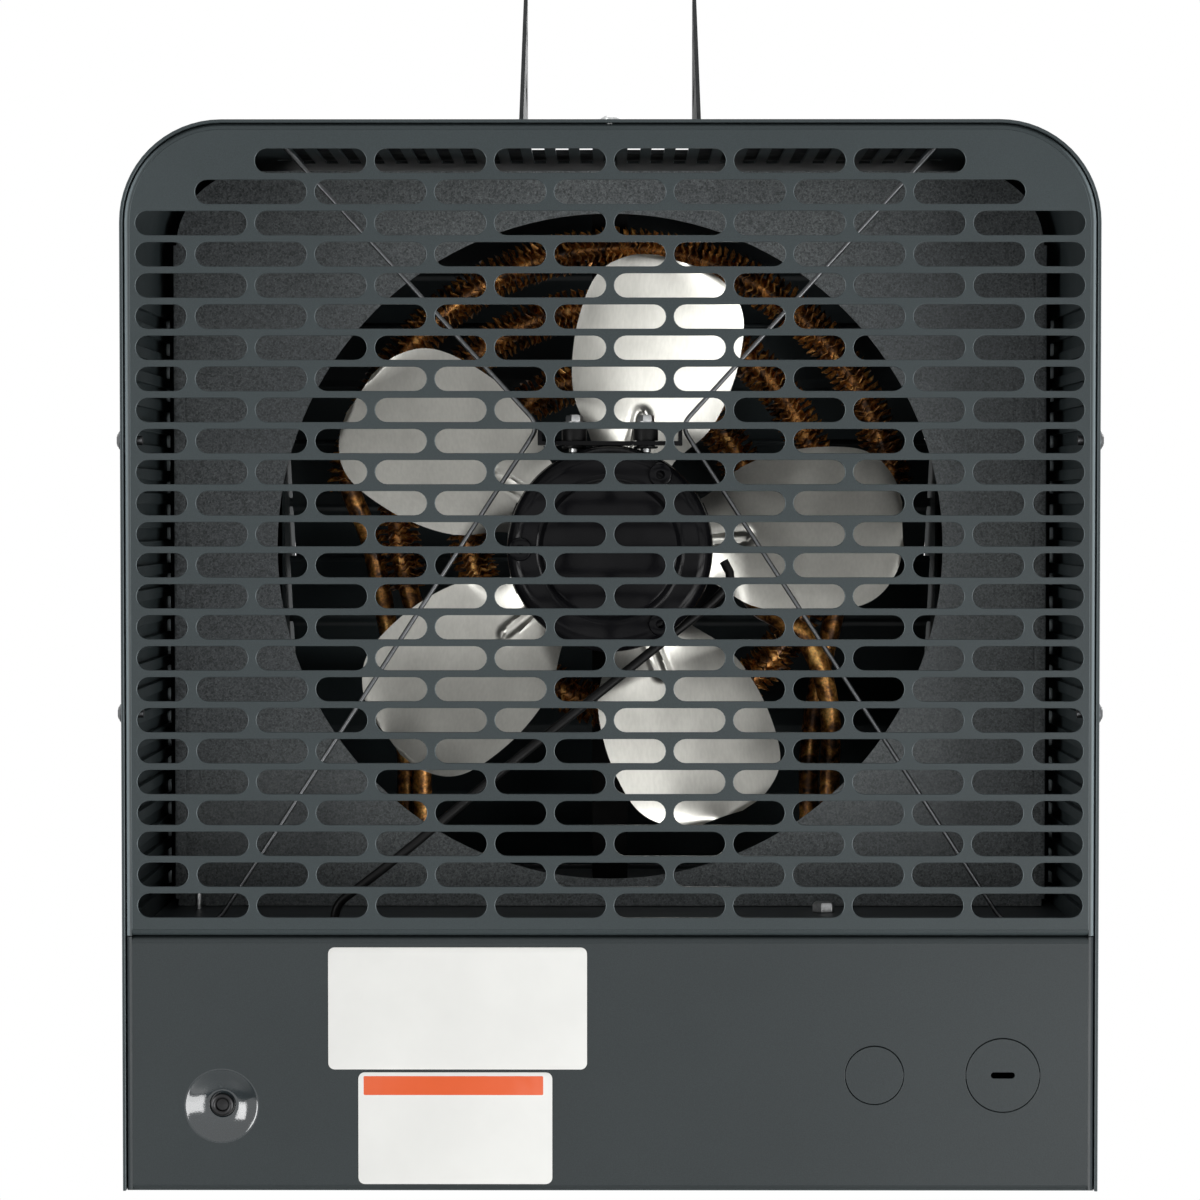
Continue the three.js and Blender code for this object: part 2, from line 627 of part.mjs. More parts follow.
function buildCoverScrew() {
  const head = DISH.depth - CLEAR;
  const { headRadius, crownRadius, headHeight, shankRadius, length } = COVER_SCREW;
  const profile = [
    [0, head - headHeight], [crownRadius, head - headHeight], [headRadius, head - headHeight / 2],
    [headRadius, head], [shankRadius, head], [shankRadius, head + length], [0, head + length],
  ];
  add("cover_screw", turnedAlongY(profile, DISH_X, DISH.z, SMALL_ROUND), MATERIALS.zinc);
}

function buildLabels() {
  const depth = [-LABEL_GAP - LABEL_SHEET, -LABEL_GAP];
  for (const [side, { x, z, width, height }] of [["upper", UPPER_LABEL], ["lower", LOWER_LABEL]]) {
    const sheet = box([x - width / 2, x + width / 2], depth, [z - height / 2, z + height / 2]);
    add(`blank_label_${side}`, sheet, MATERIALS.label);
  }
}

function buildBasePan() {
  const inside = [FLANGE_DEPTH + CLEAR, FRONT_SHEET - FLANGE_DEPTH - CLEAR];
  const tabStart = DISH.depth + CABINET.sheet + CLEAR;
  const half = COVER_SCREW.tabWidth / 2;
  const tabTop = DISH.z + COVER_SCREW.tabTop;
  const pan = join(
    box([-PANEL_HALF, PANEL_HALF], [BEHIND_PANEL, FRONT_SHEET - CLEAR], [0, CABINET.sheet]),
    ...sideFlanges(inside, [0, PAN_FLANGE]),
    box([DISH_X - half, DISH_X + half], [tabStart, tabStart + CABINET.sheet], [0, tabTop]),
  );
  const hole = COVER_SCREW.shankRadius + CLEAR;
  return cut(pan, rodAlongY(hole, tabStart - CABINET.sheet, tabStart + 2 * CABINET.sheet, DISH_X, DISH.z));
}

function buildShelf() {
  const inside = [FLANGE_DEPTH + 2 * CLEAR, FRONT_SHEET - FLANGE_DEPTH - 2 * CLEAR];
  const sheet = join(
    box([-PANEL_HALF, PANEL_HALF], inside, [SHELF_BOTTOM, SHELF_TOP]),
    ...sideFlanges(inside, [SHELF_BOTTOM - SHELF_FLANGE, SHELF_TOP]),
  );
  const reach = 3 * CABINET.sheet;
  const holes = elementLegs().map(([x, y]) =>
    rodAlongZ(TUBE.radius + CLEAR, SHELF_BOTTOM - reach, SHELF_TOP + reach, x, y));
  const { x, y, radius } = LEAD_GROMMET;
  return cut(sheet, ...holes, rodAlongZ(radius + CLEAR, SHELF_BOTTOM - reach, SHELF_TOP + reach, x, y));
}

// ---- air path ----

function buildOrificePanel() {
  const { plane, radius, lip, edgeFlange, edgeReturn, edgeFoot, footDepth } = ORIFICE;
  const outline = archOutline(ORIFICE_HALF, ON_SHELF, ORIFICE_TOP, ORIFICE_CORNER);
  const opening = circle(0, FAN_HEIGHT, radius + GALVANISED / 2, ORIFICE_ROUND);
  const edgeHeight = [ON_SHELF + edgeFoot, ORIFICE_TOP - ORIFICE_CORNER];
  const foot = [plane + GALVANISED / 2, plane + footDepth];
  const footHalf = OUTER_HALF - ORIFICE.footInset;
  const bend = [plane - edgeFlange, plane - edgeFlange + GALVANISED];
  const ring = turnedAlongY([
    [radius, plane], [radius + GALVANISED, plane], [radius + GALVANISED, plane + lip], [radius, plane + lip],
    [radius, plane],
  ], 0, FAN_HEIGHT, ORIFICE_ROUND);
  return join(
    plateFacingY(outline, [opening], plane, plane + GALVANISED),
    ring,
    ...sideFlanges(bend, edgeHeight, edgeReturn, ORIFICE_HALF),
    ...sideFlanges([plane - edgeFlange, plane + GALVANISED / 2], edgeHeight, GALVANISED, ORIFICE_HALF),
    box([-footHalf, footHalf], foot, [ON_SHELF, ON_SHELF + GALVANISED]),
  );
}

function buildLiner() {
  const start = ORIFICE.plane + GALVANISED + CLEAR;
  const corner = ORIFICE_CORNER - LINER_INSET;
  const band = archBand(ORIFICE_HALF - LINER_INSET, ON_SHELF, LINER_TOP, corner, LINER.sheet);
  const flange = archBand(
    ORIFICE_HALF - CLEAR, ON_SHELF, ORIFICE_TOP - CLEAR, ORIFICE_CORNER - CLEAR, LINER.flange);
  return join(
    plateFacingY(band, [], start, LINER_END),
    plateFacingY(flange, [], start, start + LINER.sheet),
  );
}

function buildLimitThermostat() {
  const start = ORIFICE.plane + GALVANISED + CLEAR;
  const { radius, earHalf, height, sheet } = LIMIT;
  const x = LIMIT.fromEdge - OUTER_HALF;
  const z = ROOF - LIMIT.belowRoof;
  add("limit_thermostat", join(
    box([x - earHalf, x + earHalf], [start, start + sheet], [z - radius / 2, z + radius / 2]),
    rodAlongY(radius, start + sheet / 2, start + height, x, z, INSIDE_ROUND),
  ), MATERIALS.phenolic);
}

// ---- motor and fan ----

function buildMotorShell() {
  const { radius, wall, rear, front, capRadius, capSlope, capStep, shoulder } = MOTOR;
  const { bearingLength, ventFrom, ventDepth, ventWidth, ventCount } = MOTOR;
  const floor = rear + wall;
  const step = rear + capStep;
  const seat = MOTOR.bearingRadius + CLEAR;
  const boss = seat + MOTOR.bossWall;
  const inset = wall / 2;
  const profile = [
    [0, rear], [capRadius, rear], [capRadius + capSlope, step], [radius - shoulder, step],
    [radius, step + shoulder], [radius, front], [radius - wall, front],
    [radius - wall, step + shoulder + inset], [radius - shoulder - inset, step + wall],
    [capRadius + capSlope - inset, step + wall], [capRadius - inset, floor], [boss, floor],
    [boss, floor + bearingLength], [seat, floor + bearingLength], [seat, floor], [0, floor],
  ];
  const across = [-ventWidth / 2, ventWidth / 2];
  const vents = Array.from({ length: ventCount }, (unused, i) => {
    const angle = (2 * Math.PI * (i + 0.5)) / ventCount;
    const slot = box([ventFrom, radius + wall], [rear, rear + ventDepth], across);
    return slot.rotateY(angle).translate(0, 0, FAN_HEIGHT);
  });
  return cut(solidOf(turnedAlongY(profile, 0, FAN_HEIGHT)), ...vents);
}

function buildMotorEndCap() {
  const { radius, front, bearingRadius, bearingLength, bossWall } = MOTOR;
  const seat = bearingRadius + CLEAR;
  const back = front + CLEAR;
  const face = back + MOTOR_END_CAP.sheet;
  const lip = face + MOTOR_END_CAP.bossHeight;
  const bossStart = face - bearingLength;
  return turnedAlongY([
    [seat, bossStart], [seat + bossWall, bossStart], [seat + bossWall, back], [radius, back], [radius, face],
    [seat + bossWall, face], [seat, lip], [SHAFT_BORE, lip], [SHAFT_BORE, face + CLEAR], [seat, face + CLEAR],
    [seat, bossStart],
  ], 0, FAN_HEIGHT);
}

// a ring round the fan's axis
function sleeve(inner, outer, y0, y1, segments = INSIDE_ROUND) {
  const profile = [[inner, y0], [outer, y0], [outer, y1], [inner, y1], [inner, y0]];
  return turnedAlongY(profile, 0, FAN_HEIGHT, segments);
}

function buildMotorInside() {
  const statorOuter = MOTOR.radius - MOTOR.wall - CLEAR;
  const { start, end, windingInner, windingOuter, windingLength } = STATOR;
  const stator = sleeve(ROTOR_RADIUS + AIR_GAP, statorOuter, start, end, ROUND);
  add("stator_core", stator, MATERIALS.lamination);
  const rearWinding = [start - CLEAR - windingLength, start - CLEAR];
  const frontWinding = [end + CLEAR, end + CLEAR + windingLength];
  for (const [name, [y0, y1]] of [["winding_rear", rearWinding], ["winding_front", frontWinding]]) {
    const third = (y1 - y0) / 3;
    add(name, turnedAlongY([
      [windingInner, y0 + third], [windingInner + third, y0], [windingOuter - third, y0],
      [windingOuter, y0 + third], [windingOuter, y1 - third], [windingOuter - third, y1],
      [windingInner + third, y1], [windingInner, y1 - third], [windingInner, y0 + third],
    ], 0, FAN_HEIGHT, INSIDE_ROUND), MATERIALS.copper);
  }
  add("rotor_core", sleeve(SHAFT_BORE, ROTOR_RADIUS, start, end), MATERIALS.lamination);
  const { radius, chamfer } = SHAFT;
  const shaft = turnedAlongY([
    [0, SHAFT.start], [radius, SHAFT.start], [radius, SHAFT.end - chamfer], [radius - chamfer, SHAFT.end],
    [0, SHAFT.end],
  ], 0, FAN_HEIGHT, SMALL_ROUND);
  add("motor_shaft", shaft, MATERIALS.steelShaft);
  const rearSeat = MOTOR.rear + MOTOR.wall + CLEAR;
  const frontFace = MOTOR.front + CLEAR + MOTOR_END_CAP.sheet;
  const { bearingRadius, bearingLength } = MOTOR;
  for (const [name, y] of [["bearing_rear", rearSeat], ["bearing_front", frontFace - bearingLength]]) {
    add(name, sleeve(SHAFT_BORE, bearingRadius, y, y + bearingLength), MATERIALS.bronze);
  }
}

function buildHub() {
  const plateRear = FAN.plane - FAN.sheet / 2 - CLEAR;
  const { radius, spigot, flangeRadius, flangeSheet, start, end } = HUB;
  const flangeRear = plateRear - flangeSheet;
  return turnedAlongY([
    [SHAFT_BORE, start], [radius, start], [radius, flangeRear], [flangeRadius, flangeRear],
    [flangeRadius, plateRear], [spigot, plateRear], [spigot, end], [SHAFT_BORE, end], [SHAFT_BORE, start],
  ], 0, FAN_HEIGHT, INSIDE_ROUND);
}

// where the blade's sheet lies: flat near the hub, then pitched and slightly cambered
function bladeDepth(distance, side, halfWidth) {
  const run = THREE.MathUtils.smoothstep(distance, FAN.flatRadius, FAN.fullPitchRadius);
  const slope = Math.tan(THREE.MathUtils.degToRad(FAN.pitchAngle));
  const hollow = FAN.camber * (1 - side * side);
  return FAN.plane + run * (hollow - FAN.camber / 2 - slope * side * halfWidth);
}

function bladeGeometry(angle) {
  const rows = BLADE_OUTLINE.length;
  const columns = BLADE_COLUMNS + 1;
  const positions = [];
  for (const face of [-1, 1]) {
    for (const [distance, halfWidth] of BLADE_OUTLINE) {
      for (let column = 0; column < columns; column += 1) {
        const side = (2 * column) / BLADE_COLUMNS - 1;
        const v = side * halfWidth;
        const x = distance * Math.cos(angle) - v * Math.sin(angle);
        const z = distance * Math.sin(angle) + v * Math.cos(angle);
        positions.push(x, bladeDepth(distance, side, halfWidth) + (face * FAN.sheet) / 2, z + FAN_HEIGHT);
      }
    }
  }
  const at = (face, row, column) => (face * rows + row) * columns + column;
  const indices = [];
  const quad = (a, b, c, d) => indices.push(a, b, c, a, c, d);
  for (let row = 0; row < rows - 1; row += 1) {
    for (let column = 0; column < BLADE_COLUMNS; column += 1) {
      quad(at(0, row, column), at(0, row + 1, column), at(0, row + 1, column + 1), at(0, row, column + 1));
      quad(at(1, row, column), at(1, row, column + 1), at(1, row + 1, column + 1), at(1, row + 1, column));
    }
    quad(at(0, row, 0), at(1, row, 0), at(1, row + 1, 0), at(0, row + 1, 0));
    const edge = BLADE_COLUMNS;
    quad(at(0, row, edge), at(0, row + 1, edge), at(1, row + 1, edge), at(1, row, edge));
  }
  for (let column = 0; column < BLADE_COLUMNS; column += 1) {
    quad(at(0, 0, column), at(0, 0, column + 1), at(1, 0, column + 1), at(1, 0, column));
    const tip = rows - 1;
    quad(at(0, tip, column), at(1, tip, column), at(1, tip, column + 1), at(0, tip, column + 1));
  }
  const geometry = new THREE.BufferGeometry();
  geometry.setAttribute("position", new THREE.Float32BufferAttribute(positions, 3));
  geometry.setIndex(indices);
  return geometry;
}

function buildFan() {
  const y = [FAN.plane - FAN.sheet / 2, FAN.plane + FAN.sheet / 2];
  const disc = plateFacingY(
    circle(0, FAN_HEIGHT, FAN.flatRadius, ROUND), [circle(0, FAN_HEIGHT, FAN_BORE, INSIDE_ROUND)], ...y);
  const blades = Array.from({ length: FAN.blades }, (unused, i) =>
    bladeGeometry(THREE.MathUtils.degToRad(FAN.firstAngle + (360 * i) / FAN.blades)));
  return join(disc, ...blades);
}

// the corners of a bent rod, from its foot under the roof to its foot on the shelf
function rodPoints(sign) {
  const apexZ = SADDLE_TOP + ROD.aboveSaddle + ROD.radius;
  const topZ = CEILING - CLEAR - ROD.radius;
  const bottomZ = ON_SHELF + ROD.radius;
  const topX = OUTER_HALF - ROD.topFromEdge;
  const bottomX = OUTER_HALF - ROD.bottomFromEdge;
  return [
    [topX + ROD.footLength, topZ], [topX, topZ], [ROD.apexX, apexZ], [bottomX, bottomZ],
    [bottomX + ROD.footLength, bottomZ],
  ].map(([x, z]) => vector([sign * x, SADDLE.y, z]));
}

// the rods' bends lean against the turned-up ends of the saddle
function saddleHalfLength() {
  const [, top, apex, bottom] = rodPoints(1);
  const inward = top.clone().sub(apex).normalize().add(bottom.clone().sub(apex).normalize());
  return apex.x + (inward.x * ROD.bend) / 4 - ROD.radius - CLEAR;
}

function buildSaddle() {
  const { y, sheet, halfWidth, upstand } = SADDLE;
  const hole = GROMMET.waistRadius + CLEAR;
  const half = saddleHalfLength();
  const across = [y - halfWidth, y + halfWidth];
  const holes = [circle(-STUD.x, y, hole), circle(STUD.x, y, hole)];
  const raised = [SADDLE_BOTTOM + sheet / 2, SADDLE_TOP + upstand];
  return join(
    plateFacingZ(rectangle(-half, half, ...across), holes, SADDLE_BOTTOM, SADDLE_TOP),
    box([-half, sheet - half], across, raised),
    box([half - sheet, half], across, raised),
  );
}

function buildMotorStuds() {
  const { y } = SADDLE;
  const lower = SADDLE_BOTTOM - CLEAR;
  const upper = SADDLE_TOP + CLEAR;
  const bore = STUD.radius + CLEAR;
  const { flangeRadius, waistRadius, flange, top, chamfer } = GROMMET;
  const head = upper + top + CLEAR;
  const shellHeight = Math.sqrt(MOTOR.radius ** 2 - (STUD.x - STUD.radius) ** 2);
  const foot = FAN_HEIGHT + shellHeight + CLEAR;
  for (const [name, sign] of [["left", -1], ["right", 1]]) {
    const x = sign * STUD.x;
    add(`motor_stud_${name}`, turnedAlongZ([
      [0, foot], [STUD.radius, foot], [STUD.radius, head], [STUD.headRadius, head],
      [STUD.headRadius, head + STUD.headHeight], [0, head + STUD.headHeight],
    ], x, y), MATERIALS.zinc);
    add(`motor_grommet_${name}`, turnedAlongZ([
      [bore, lower - flange + CLEAR], [flangeRadius - chamfer, lower - flange + CLEAR], [flangeRadius, lower],
      [waistRadius, lower], [waistRadius, upper], [flangeRadius, upper],
      [flangeRadius - chamfer, upper + top], [bore, upper + top], [bore, lower - flange + CLEAR],
    ], x, y), MATERIALS.rubber);
  }
}

function buildMotorRods() {
  for (const [name, sign] of [["left", -1], ["right", 1]]) {
    const path = roundedPath(rodPoints(sign), ROD.bend);
    add(`motor_rod_${name}`, tubeAlong(path, ROD.radius, ROD.sides, ROD.steps), MATERIALS.zinc);
  }
}

function buildLead() {
  const route = [
    ...LEAD_FROM_MOTOR.map(([x, y, above]) => vector([x, y, FAN_HEIGHT + above])),
    ...LEAD_TO_SHELF.map(([x, y, above]) => vector([x, y, SHELF_TOP + above])),
  ];
  const curve = new THREE.CatmullRomCurve3(route, false, "centripetal");
  add("motor_lead", tubeAlong(curve, LEAD.radius, LEAD.sides, LEAD.steps), MATERIALS.rubber);
  const { x, y, radius, flangeRadius, flange } = LEAD_GROMMET;
  const bore = LEAD.radius + 3 * CLEAR;
  const bottom = SHELF_BOTTOM - CLEAR;
  add("lead_grommet", turnedAlongZ([
    [bore, bottom - flange], [flangeRadius, bottom - flange], [flangeRadius, bottom], [radius, bottom],
    [radius, ON_SHELF], [flangeRadius, ON_SHELF], [flangeRadius, ON_SHELF + flange],
    [bore, ON_SHELF + flange], [bore, bottom - flange],
  ], x, y), MATERIALS.rubber);
}

// ---- heating elements ----

// the four legs' terminal ends, straight under their holes in the shelf
function elementLegs() {
  return [OUTER_LEFT_LEG[0], OUTER_RIGHT_LEG.at(-1), LOOP_LEFT_LEG[0], LOOP_RIGHT_LEG.at(-1)];
}

function ringPoint(angle, radius, centreX, centreZ) {
  const turn = THREE.MathUtils.degToRad(angle);
  return [centreX + radius * Math.cos(turn), ELEMENT_PLANE, centreZ + radius * Math.sin(turn)];
}

function buildOuterElement() {
  const { insideOrifice, aboveFan, aside, from, to, step } = OUTER_ELEMENT;
  const radius = ORIFICE.radius - insideOrifice;
  const ring = [];
  for (let i = 0; i <= (from - to) / step; i += 1) {
    ring.push(ringPoint(from - i * step, radius, aside, FAN_HEIGHT + aboveFan));
  }
  const first = OUTER_LEFT_LEG.length;
  return finnedTube([...OUTER_LEFT_LEG, ...ring, ...OUTER_RIGHT_LEG], first, first + ring.length - 1);
}

function loopRadius(angle) {
  const outerRadius = ORIFICE.radius - LOOP_ELEMENT.outerInset;
  const innerRadius = ORIFICE.radius - LOOP_ELEMENT.innerInset;
  const { shrinkFrom, shrinkTo } = LOOP_ANGLES;
  const share = (shrinkFrom - angle) / (shrinkFrom - shrinkTo);
  return THREE.MathUtils.lerp(outerRadius, innerRadius, THREE.MathUtils.clamp(share, 0, 1));
}

function buildLoopElement() {
  const ring = [];
  for (let angle = LOOP_ANGLES.start; angle >= LOOP_ANGLES.end; angle -= LOOP_ELEMENT.step) {
    ring.push(ringPoint(angle, loopRadius(angle), 0, FAN_HEIGHT + LOOP_ELEMENT.aboveFan));
  }
  const first = LOOP_LEFT_LEG.length;
  return finnedTube([...LOOP_LEFT_LEG, ...ring, ...LOOP_RIGHT_LEG], first, first + ring.length - 1);
}

function buildElementSupport() {
  const { halfWidth, sheet, foot } = ELEMENT_SUPPORT;
  const start = ELEMENT_PLANE + FIN.radius + CLEAR;
  const top = LINER_TOP - LINER.sheet - CLEAR;
  const across = [-halfWidth, halfWidth];
  return join(
    box(across, [start, start + sheet], [ON_SHELF, top]),
    box(across, [start, start + foot], [ON_SHELF, ON_SHELF + sheet]),
    box(across, [start, start + foot], [top - sheet, top]),
  );
}

// ---- front ----

function buildFrontFrame() {
  const opening = rectangle(-OPENING_HALF, OPENING_HALF, OPENING_BOTTOM, OPENING_TOP);
  const outline = archOutline(PANEL_HALF, GRILLE_BOTTOM, PANEL_TOP, PANEL_RADIUS);
  const inside = [FRONT_SHEET - FLANGE_DEPTH, FRONT_SHEET + CABINET.sheet / 2];
  const edge = PANEL_HALF - PANEL_RADIUS;
  const railDepth = [RAIL_START, FRONT_SHEET + CABINET.sheet / 2];
  const frame = join(
    plateFacingY(outline, [opening], FRONT_SHEET, CABINET.depth),
    ...sideFlanges(inside, [GRILLE_BOTTOM, PANEL_TOP - PANEL_RADIUS]),
    box([-edge, edge], inside, [PANEL_TOP - CABINET.sheet, PANEL_TOP]),
    box([-PANEL_HALF, PANEL_HALF], inside, [GRILLE_BOTTOM, GRILLE_BOTTOM + CABINET.sheet]),
    ...sideFlanges(railDepth, [OPENING_BOTTOM, OPENING_TOP], CABINET.sheet, OPENING_HALF + CABINET.sheet),
  );
  const holes = louvreHeights().flatMap((z) => [-1, 1].map((sign) => {
    const x = sign * (OPENING_HALF + CABINET.sheet / 2);
    return rodAlongX(LOUVRE.pinRadius + CLEAR, x - CABINET.sheet, x + CABINET.sheet, LOUVRE_PLANE, z);
  }));
  return cut(frame, ...holes);
}

function louvreHeights() {
  return Array.from({ length: LOUVRE.count }, (unused, i) => OPENING_BOTTOM + (i + 0.5) * LOUVRE_PITCH);
}

// a thin blade with hemmed edges and a spine, drawn in y and z round its own pivot
function louvreOutline() {
  const { hemRadius, hemFrom, hemTo, spineRadius, spineFrom, spineTo, spineFoot } = LOUVRE;
  const edge = (LOUVRE_PITCH + LOUVRE.overlap) / 2 - hemRadius;
  const half = LOUVRE.sheet / 2;
  const upper = [
    ...arc(edge, 0, hemRadius, hemFrom, hemTo, 2), [spineFoot, half],
    ...arc(0, 0, spineRadius, spineFrom, spineTo, 1), [-spineFoot, half],
  ];
  return [...upper, ...upper.map(([y, z]) => [-y, -z])];
}

function buildLouvres() {
  const reach = OPENING_HALF - LOUVRE.endGap;
  louvreHeights().forEach((z, i) => {
    const blade = join(
      plateFacingX(louvreOutline(), [], -reach, reach),
      rodAlongX(LOUVRE.pinRadius, -reach - LOUVRE.pinLength, reach + LOUVRE.pinLength, 0, 0),
    );
    const mesh = add(`louvre_${i + 1}`, blade, MATERIALS.slatePaint);
    mesh.rotation.x = -THREE.MathUtils.degToRad(LOUVRE.restAngle);
    mesh.position.set(0, LOUVRE_PLANE, z);
  });
}

function buildControlPanel() {
  const outline = rectangle(-PANEL_HALF, PANEL_HALF, COVER_BOTTOM, COVER_TOP);
  const holes = [
    circle(KNOB.x, KNOB.height, KNOB_SHAFT.radius + 2 * CLEAR),
    circle(PILOT.x, KNOB.height, PILOT.radius + CLEAR, INSIDE_ROUND),
  ];
  const inside = [FRONT_SHEET - FLANGE_DEPTH, FRONT_SHEET + CABINET.sheet / 2];
  return join(
    plateFacingY(outline, holes, FRONT_SHEET, CABINET.depth),
    ...sideFlanges(inside, [FLOOR, COVER_TOP]),
    box([-PANEL_HALF, PANEL_HALF], inside, [COVER_TOP - CABINET.sheet, COVER_TOP]),
  );
}

function buildKnob() {
  const { x, height, radius, draft, skirtRadius, skirt, length, cap, gripWidth, gripDepth } = KNOB;
  const end = KNOB_BASE + length;
  const bore = KNOB_SHAFT.radius + CLEAR;
  const floor = end - cap;
  const body = solidOf(turnedAlongY([
    [bore, KNOB_BASE], [skirtRadius, KNOB_BASE], [skirtRadius, KNOB_BASE + skirt],
    [radius, KNOB_BASE + skirt], [radius - draft, end], [0, end], [0, floor], [bore, floor],
    [bore, KNOB_BASE],
  ], x, height));
  const [inner, outer] = [gripWidth / 2, radius + skirt];
  const cheeks = [[x - outer, x - inner], [x + inner, x + outer]].map((across) =>
    box(across, [end - gripDepth, end + skirt], [height - outer, height + outer]));
  add("thermostat_knob", cut(body, ...cheeks), MATERIALS.blackPlastic);
  const shaft = rodAlongY(KNOB_SHAFT.radius, FRONT_SHEET - KNOB_SHAFT.inBody, floor - CLEAR, x, height);
  add("thermostat_shaft", shaft, MATERIALS.steelShaft);
}

function buildThermostat() {
  const { halfWidth, halfHeight, depth, bush } = THERMOSTAT;
  const face = FRONT_SHEET - CLEAR;
  const { x, height } = KNOB;
  const tall = [height - halfHeight, height + halfHeight];
  const body = solidOf(box([x - halfWidth, x + halfWidth], [face - depth, face], tall));
  return cut(body, rodAlongY(KNOB_SHAFT.radius + CLEAR, face - bush, face + CABINET.sheet, x, height));
}

function buildPilotLamp() {
  const { x, radius, bezelRadius, bezel, depth, domeRadius, shoulder, dome } = PILOT;
  const face = CABINET.depth + CLEAR;
  return turnedAlongY([
    [0, face - depth], [radius, face - depth], [radius, face], [bezelRadius, face],
    [bezelRadius, face + bezel], [radius, face + bezel], [domeRadius, face + bezel + shoulder],
    [0, face + bezel + dome],
  ], x, KNOB.height, INSIDE_ROUND);
}

// ---- wiring compartment ----

function buildTerminalBlock() {
  const { y, width, depth, height, wall, ways, bayFloor } = TERMINAL_BLOCK;
  const x = OUTER_HALF - TERMINAL_BLOCK.fromEdge;
  const tall = [FLOOR, FLOOR + height];
  const body = solidOf(box([x - width / 2, x + width / 2], [y - depth / 2, y + depth / 2], tall));
  const bay = (width - wall * (ways + 1)) / ways;
  const bays = Array.from({ length: ways }, (unused, i) => {
    const start = x - width / 2 + wall + i * (bay + wall);
    return box([start, start + bay], [y - depth, y + depth], [FLOOR + bayFloor, FLOOR + height + wall]);
  });
  return cut(body, ...bays);
}

function buildRelay() {
  const { x, y, width, depth, height, cheek, cheekTop, base, lug } = RELAY;
  const across = [x - width / 2, x + width / 2];
  const along = [y - depth / 2, y + depth / 2];
  return join(
    box([across[0] - lug, across[1] + lug], along, [FLOOR, FLOOR + base]),
    box(across, along, [FLOOR + base / 2, FLOOR + cheekTop]),
    box(across, [along[0] + cheek, along[1] - cheek], [FLOOR + base, FLOOR + height]),
  );
}

// ---- hanging bracket ----

function boltPlaces() {
  const x = BRACKET.baseHalfWidth - BRACKET_BOLT.fromEnd;
  return [BRACKET_BOLT.rear, BRACKET_BOLT.front].flatMap((y) => [[-x, y], [x, y]]);
}

function earOutline() {
  const { earTop, earRear, earFront, tipWidth, tipChamfer, heel } = BRACKET;
  const z = (height) => ROOF + height;
  return [
    [earRear, BRACKET_BOTTOM], [earFront, BRACKET_BOTTOM], [earFront, z(earTop - tipChamfer)],
    [earFront - tipChamfer, z(earTop)], [earFront - tipWidth, z(earTop)], [earRear + heel, z(heel)],
  ];
}

function buildBracket() {
  const { sheet, earInner, earRear, baseFront, baseHalfWidth, tie } = BRACKET;
  const { radius, width, from, to, segments } = TILT_SLOT;
  const pivotHeight = ROOF + PIVOT.above;
  const pivot = circle(PIVOT.y, pivotHeight, PIVOT.radius, INSIDE_ROUND);
  const tilt = arcGroove(PIVOT.y, pivotHeight, radius, width, from, to, segments);
  const ears = [-earInner - sheet, earInner].map((x) =>
    plateFacingX(earOutline(), [pivot, tilt], x, x + sheet));
  const holes = boltPlaces().map(([x, y]) => circle(x, y, BRACKET_BOLT.shankRadius + CLEAR));
  const outline = [
    [-baseHalfWidth, earRear], [-earInner, earRear], [-earInner, baseFront - tie],
    [earInner, baseFront - tie], [earInner, earRear], [baseHalfWidth, earRear],
    [baseHalfWidth, baseFront], [-baseHalfWidth, baseFront],
  ];
  return join(
    plateFacingZ(outline, holes, BRACKET_BOTTOM, BRACKET_TOP),
    ...ears,
  );
}

function buildBracketBolts() {
  const { headRadius, headHeight, headSides, shankRadius, length } = BRACKET_BOLT;
  const seat = BRACKET_TOP + CLEAR;
  boltPlaces().forEach(([x, y], i) => {
    const bolt = join(
      rodAlongZ(headRadius, seat, seat + headHeight, x, y, headSides),
      rodAlongZ(shankRadius, seat - length, seat + headHeight / 2, x, y),
    );
    add(`bracket_bolt_${i + 1}`, bolt, MATERIALS.zinc);
  });
}

// ---- assembly ----

add("cabinet_wrap", buildWrap(), MATERIALS.slatePaint);
add("base_pan", buildBasePan(), MATERIALS.slatePaint);
add("rear_grille", buildGrille(), MATERIALS.slatePaint);
add("rear_cover", buildRearCover(), MATERIALS.darkPaint);
buildLabels();
buildCoverScrew();
buildScrews();
add("compartment_shelf", buildShelf(), MATERIALS.darkPaint);

add("orifice_panel", buildOrificePanel(), MATERIALS.galvanised);
add("duct_liner", buildLiner(), MATERIALS.galvanised);
buildLimitThermostat();

add("motor_shell", buildMotorShell(), MATERIALS.blackEnamel);
add("motor_end_cap", buildMotorEndCap(), MATERIALS.blackEnamel);
buildMotorInside();
add("fan_hub", buildHub(), MATERIALS.zinc);
add("fan_blades", buildFan(), MATERIALS.aluminium);
add("motor_saddle", buildSaddle(), MATERIALS.blackEnamel);
buildMotorStuds();
buildMotorRods();
buildLead();

add("element_outer", buildOuterElement(), MATERIALS.copper);
add("element_loop", buildLoopElement(), MATERIALS.copper);
add("element_support", buildElementSupport(), MATERIALS.blackEnamel);

add("front_frame", buildFrontFrame(), MATERIALS.slatePaint);
buildLouvres();
add("control_panel", buildControlPanel(), MATERIALS.slatePaint);
buildKnob();
add("thermostat_body", buildThermostat(), MATERIALS.phenolic);
add("pilot_lamp", buildPilotLamp(), MATERIALS.redLens);

add("terminal_block", buildTerminalBlock(), MATERIALS.phenolic);
add("control_relay", buildRelay(), MATERIALS.blackPlastic);

add("mounting_bracket", buildBracket(), MATERIALS.darkPaint);
buildBracketBolts();

heater.position.set(0, -PIVOT.y, -(ROOF + PIVOT.above));
heater.updateMatrixWorld(true);

export default heater;
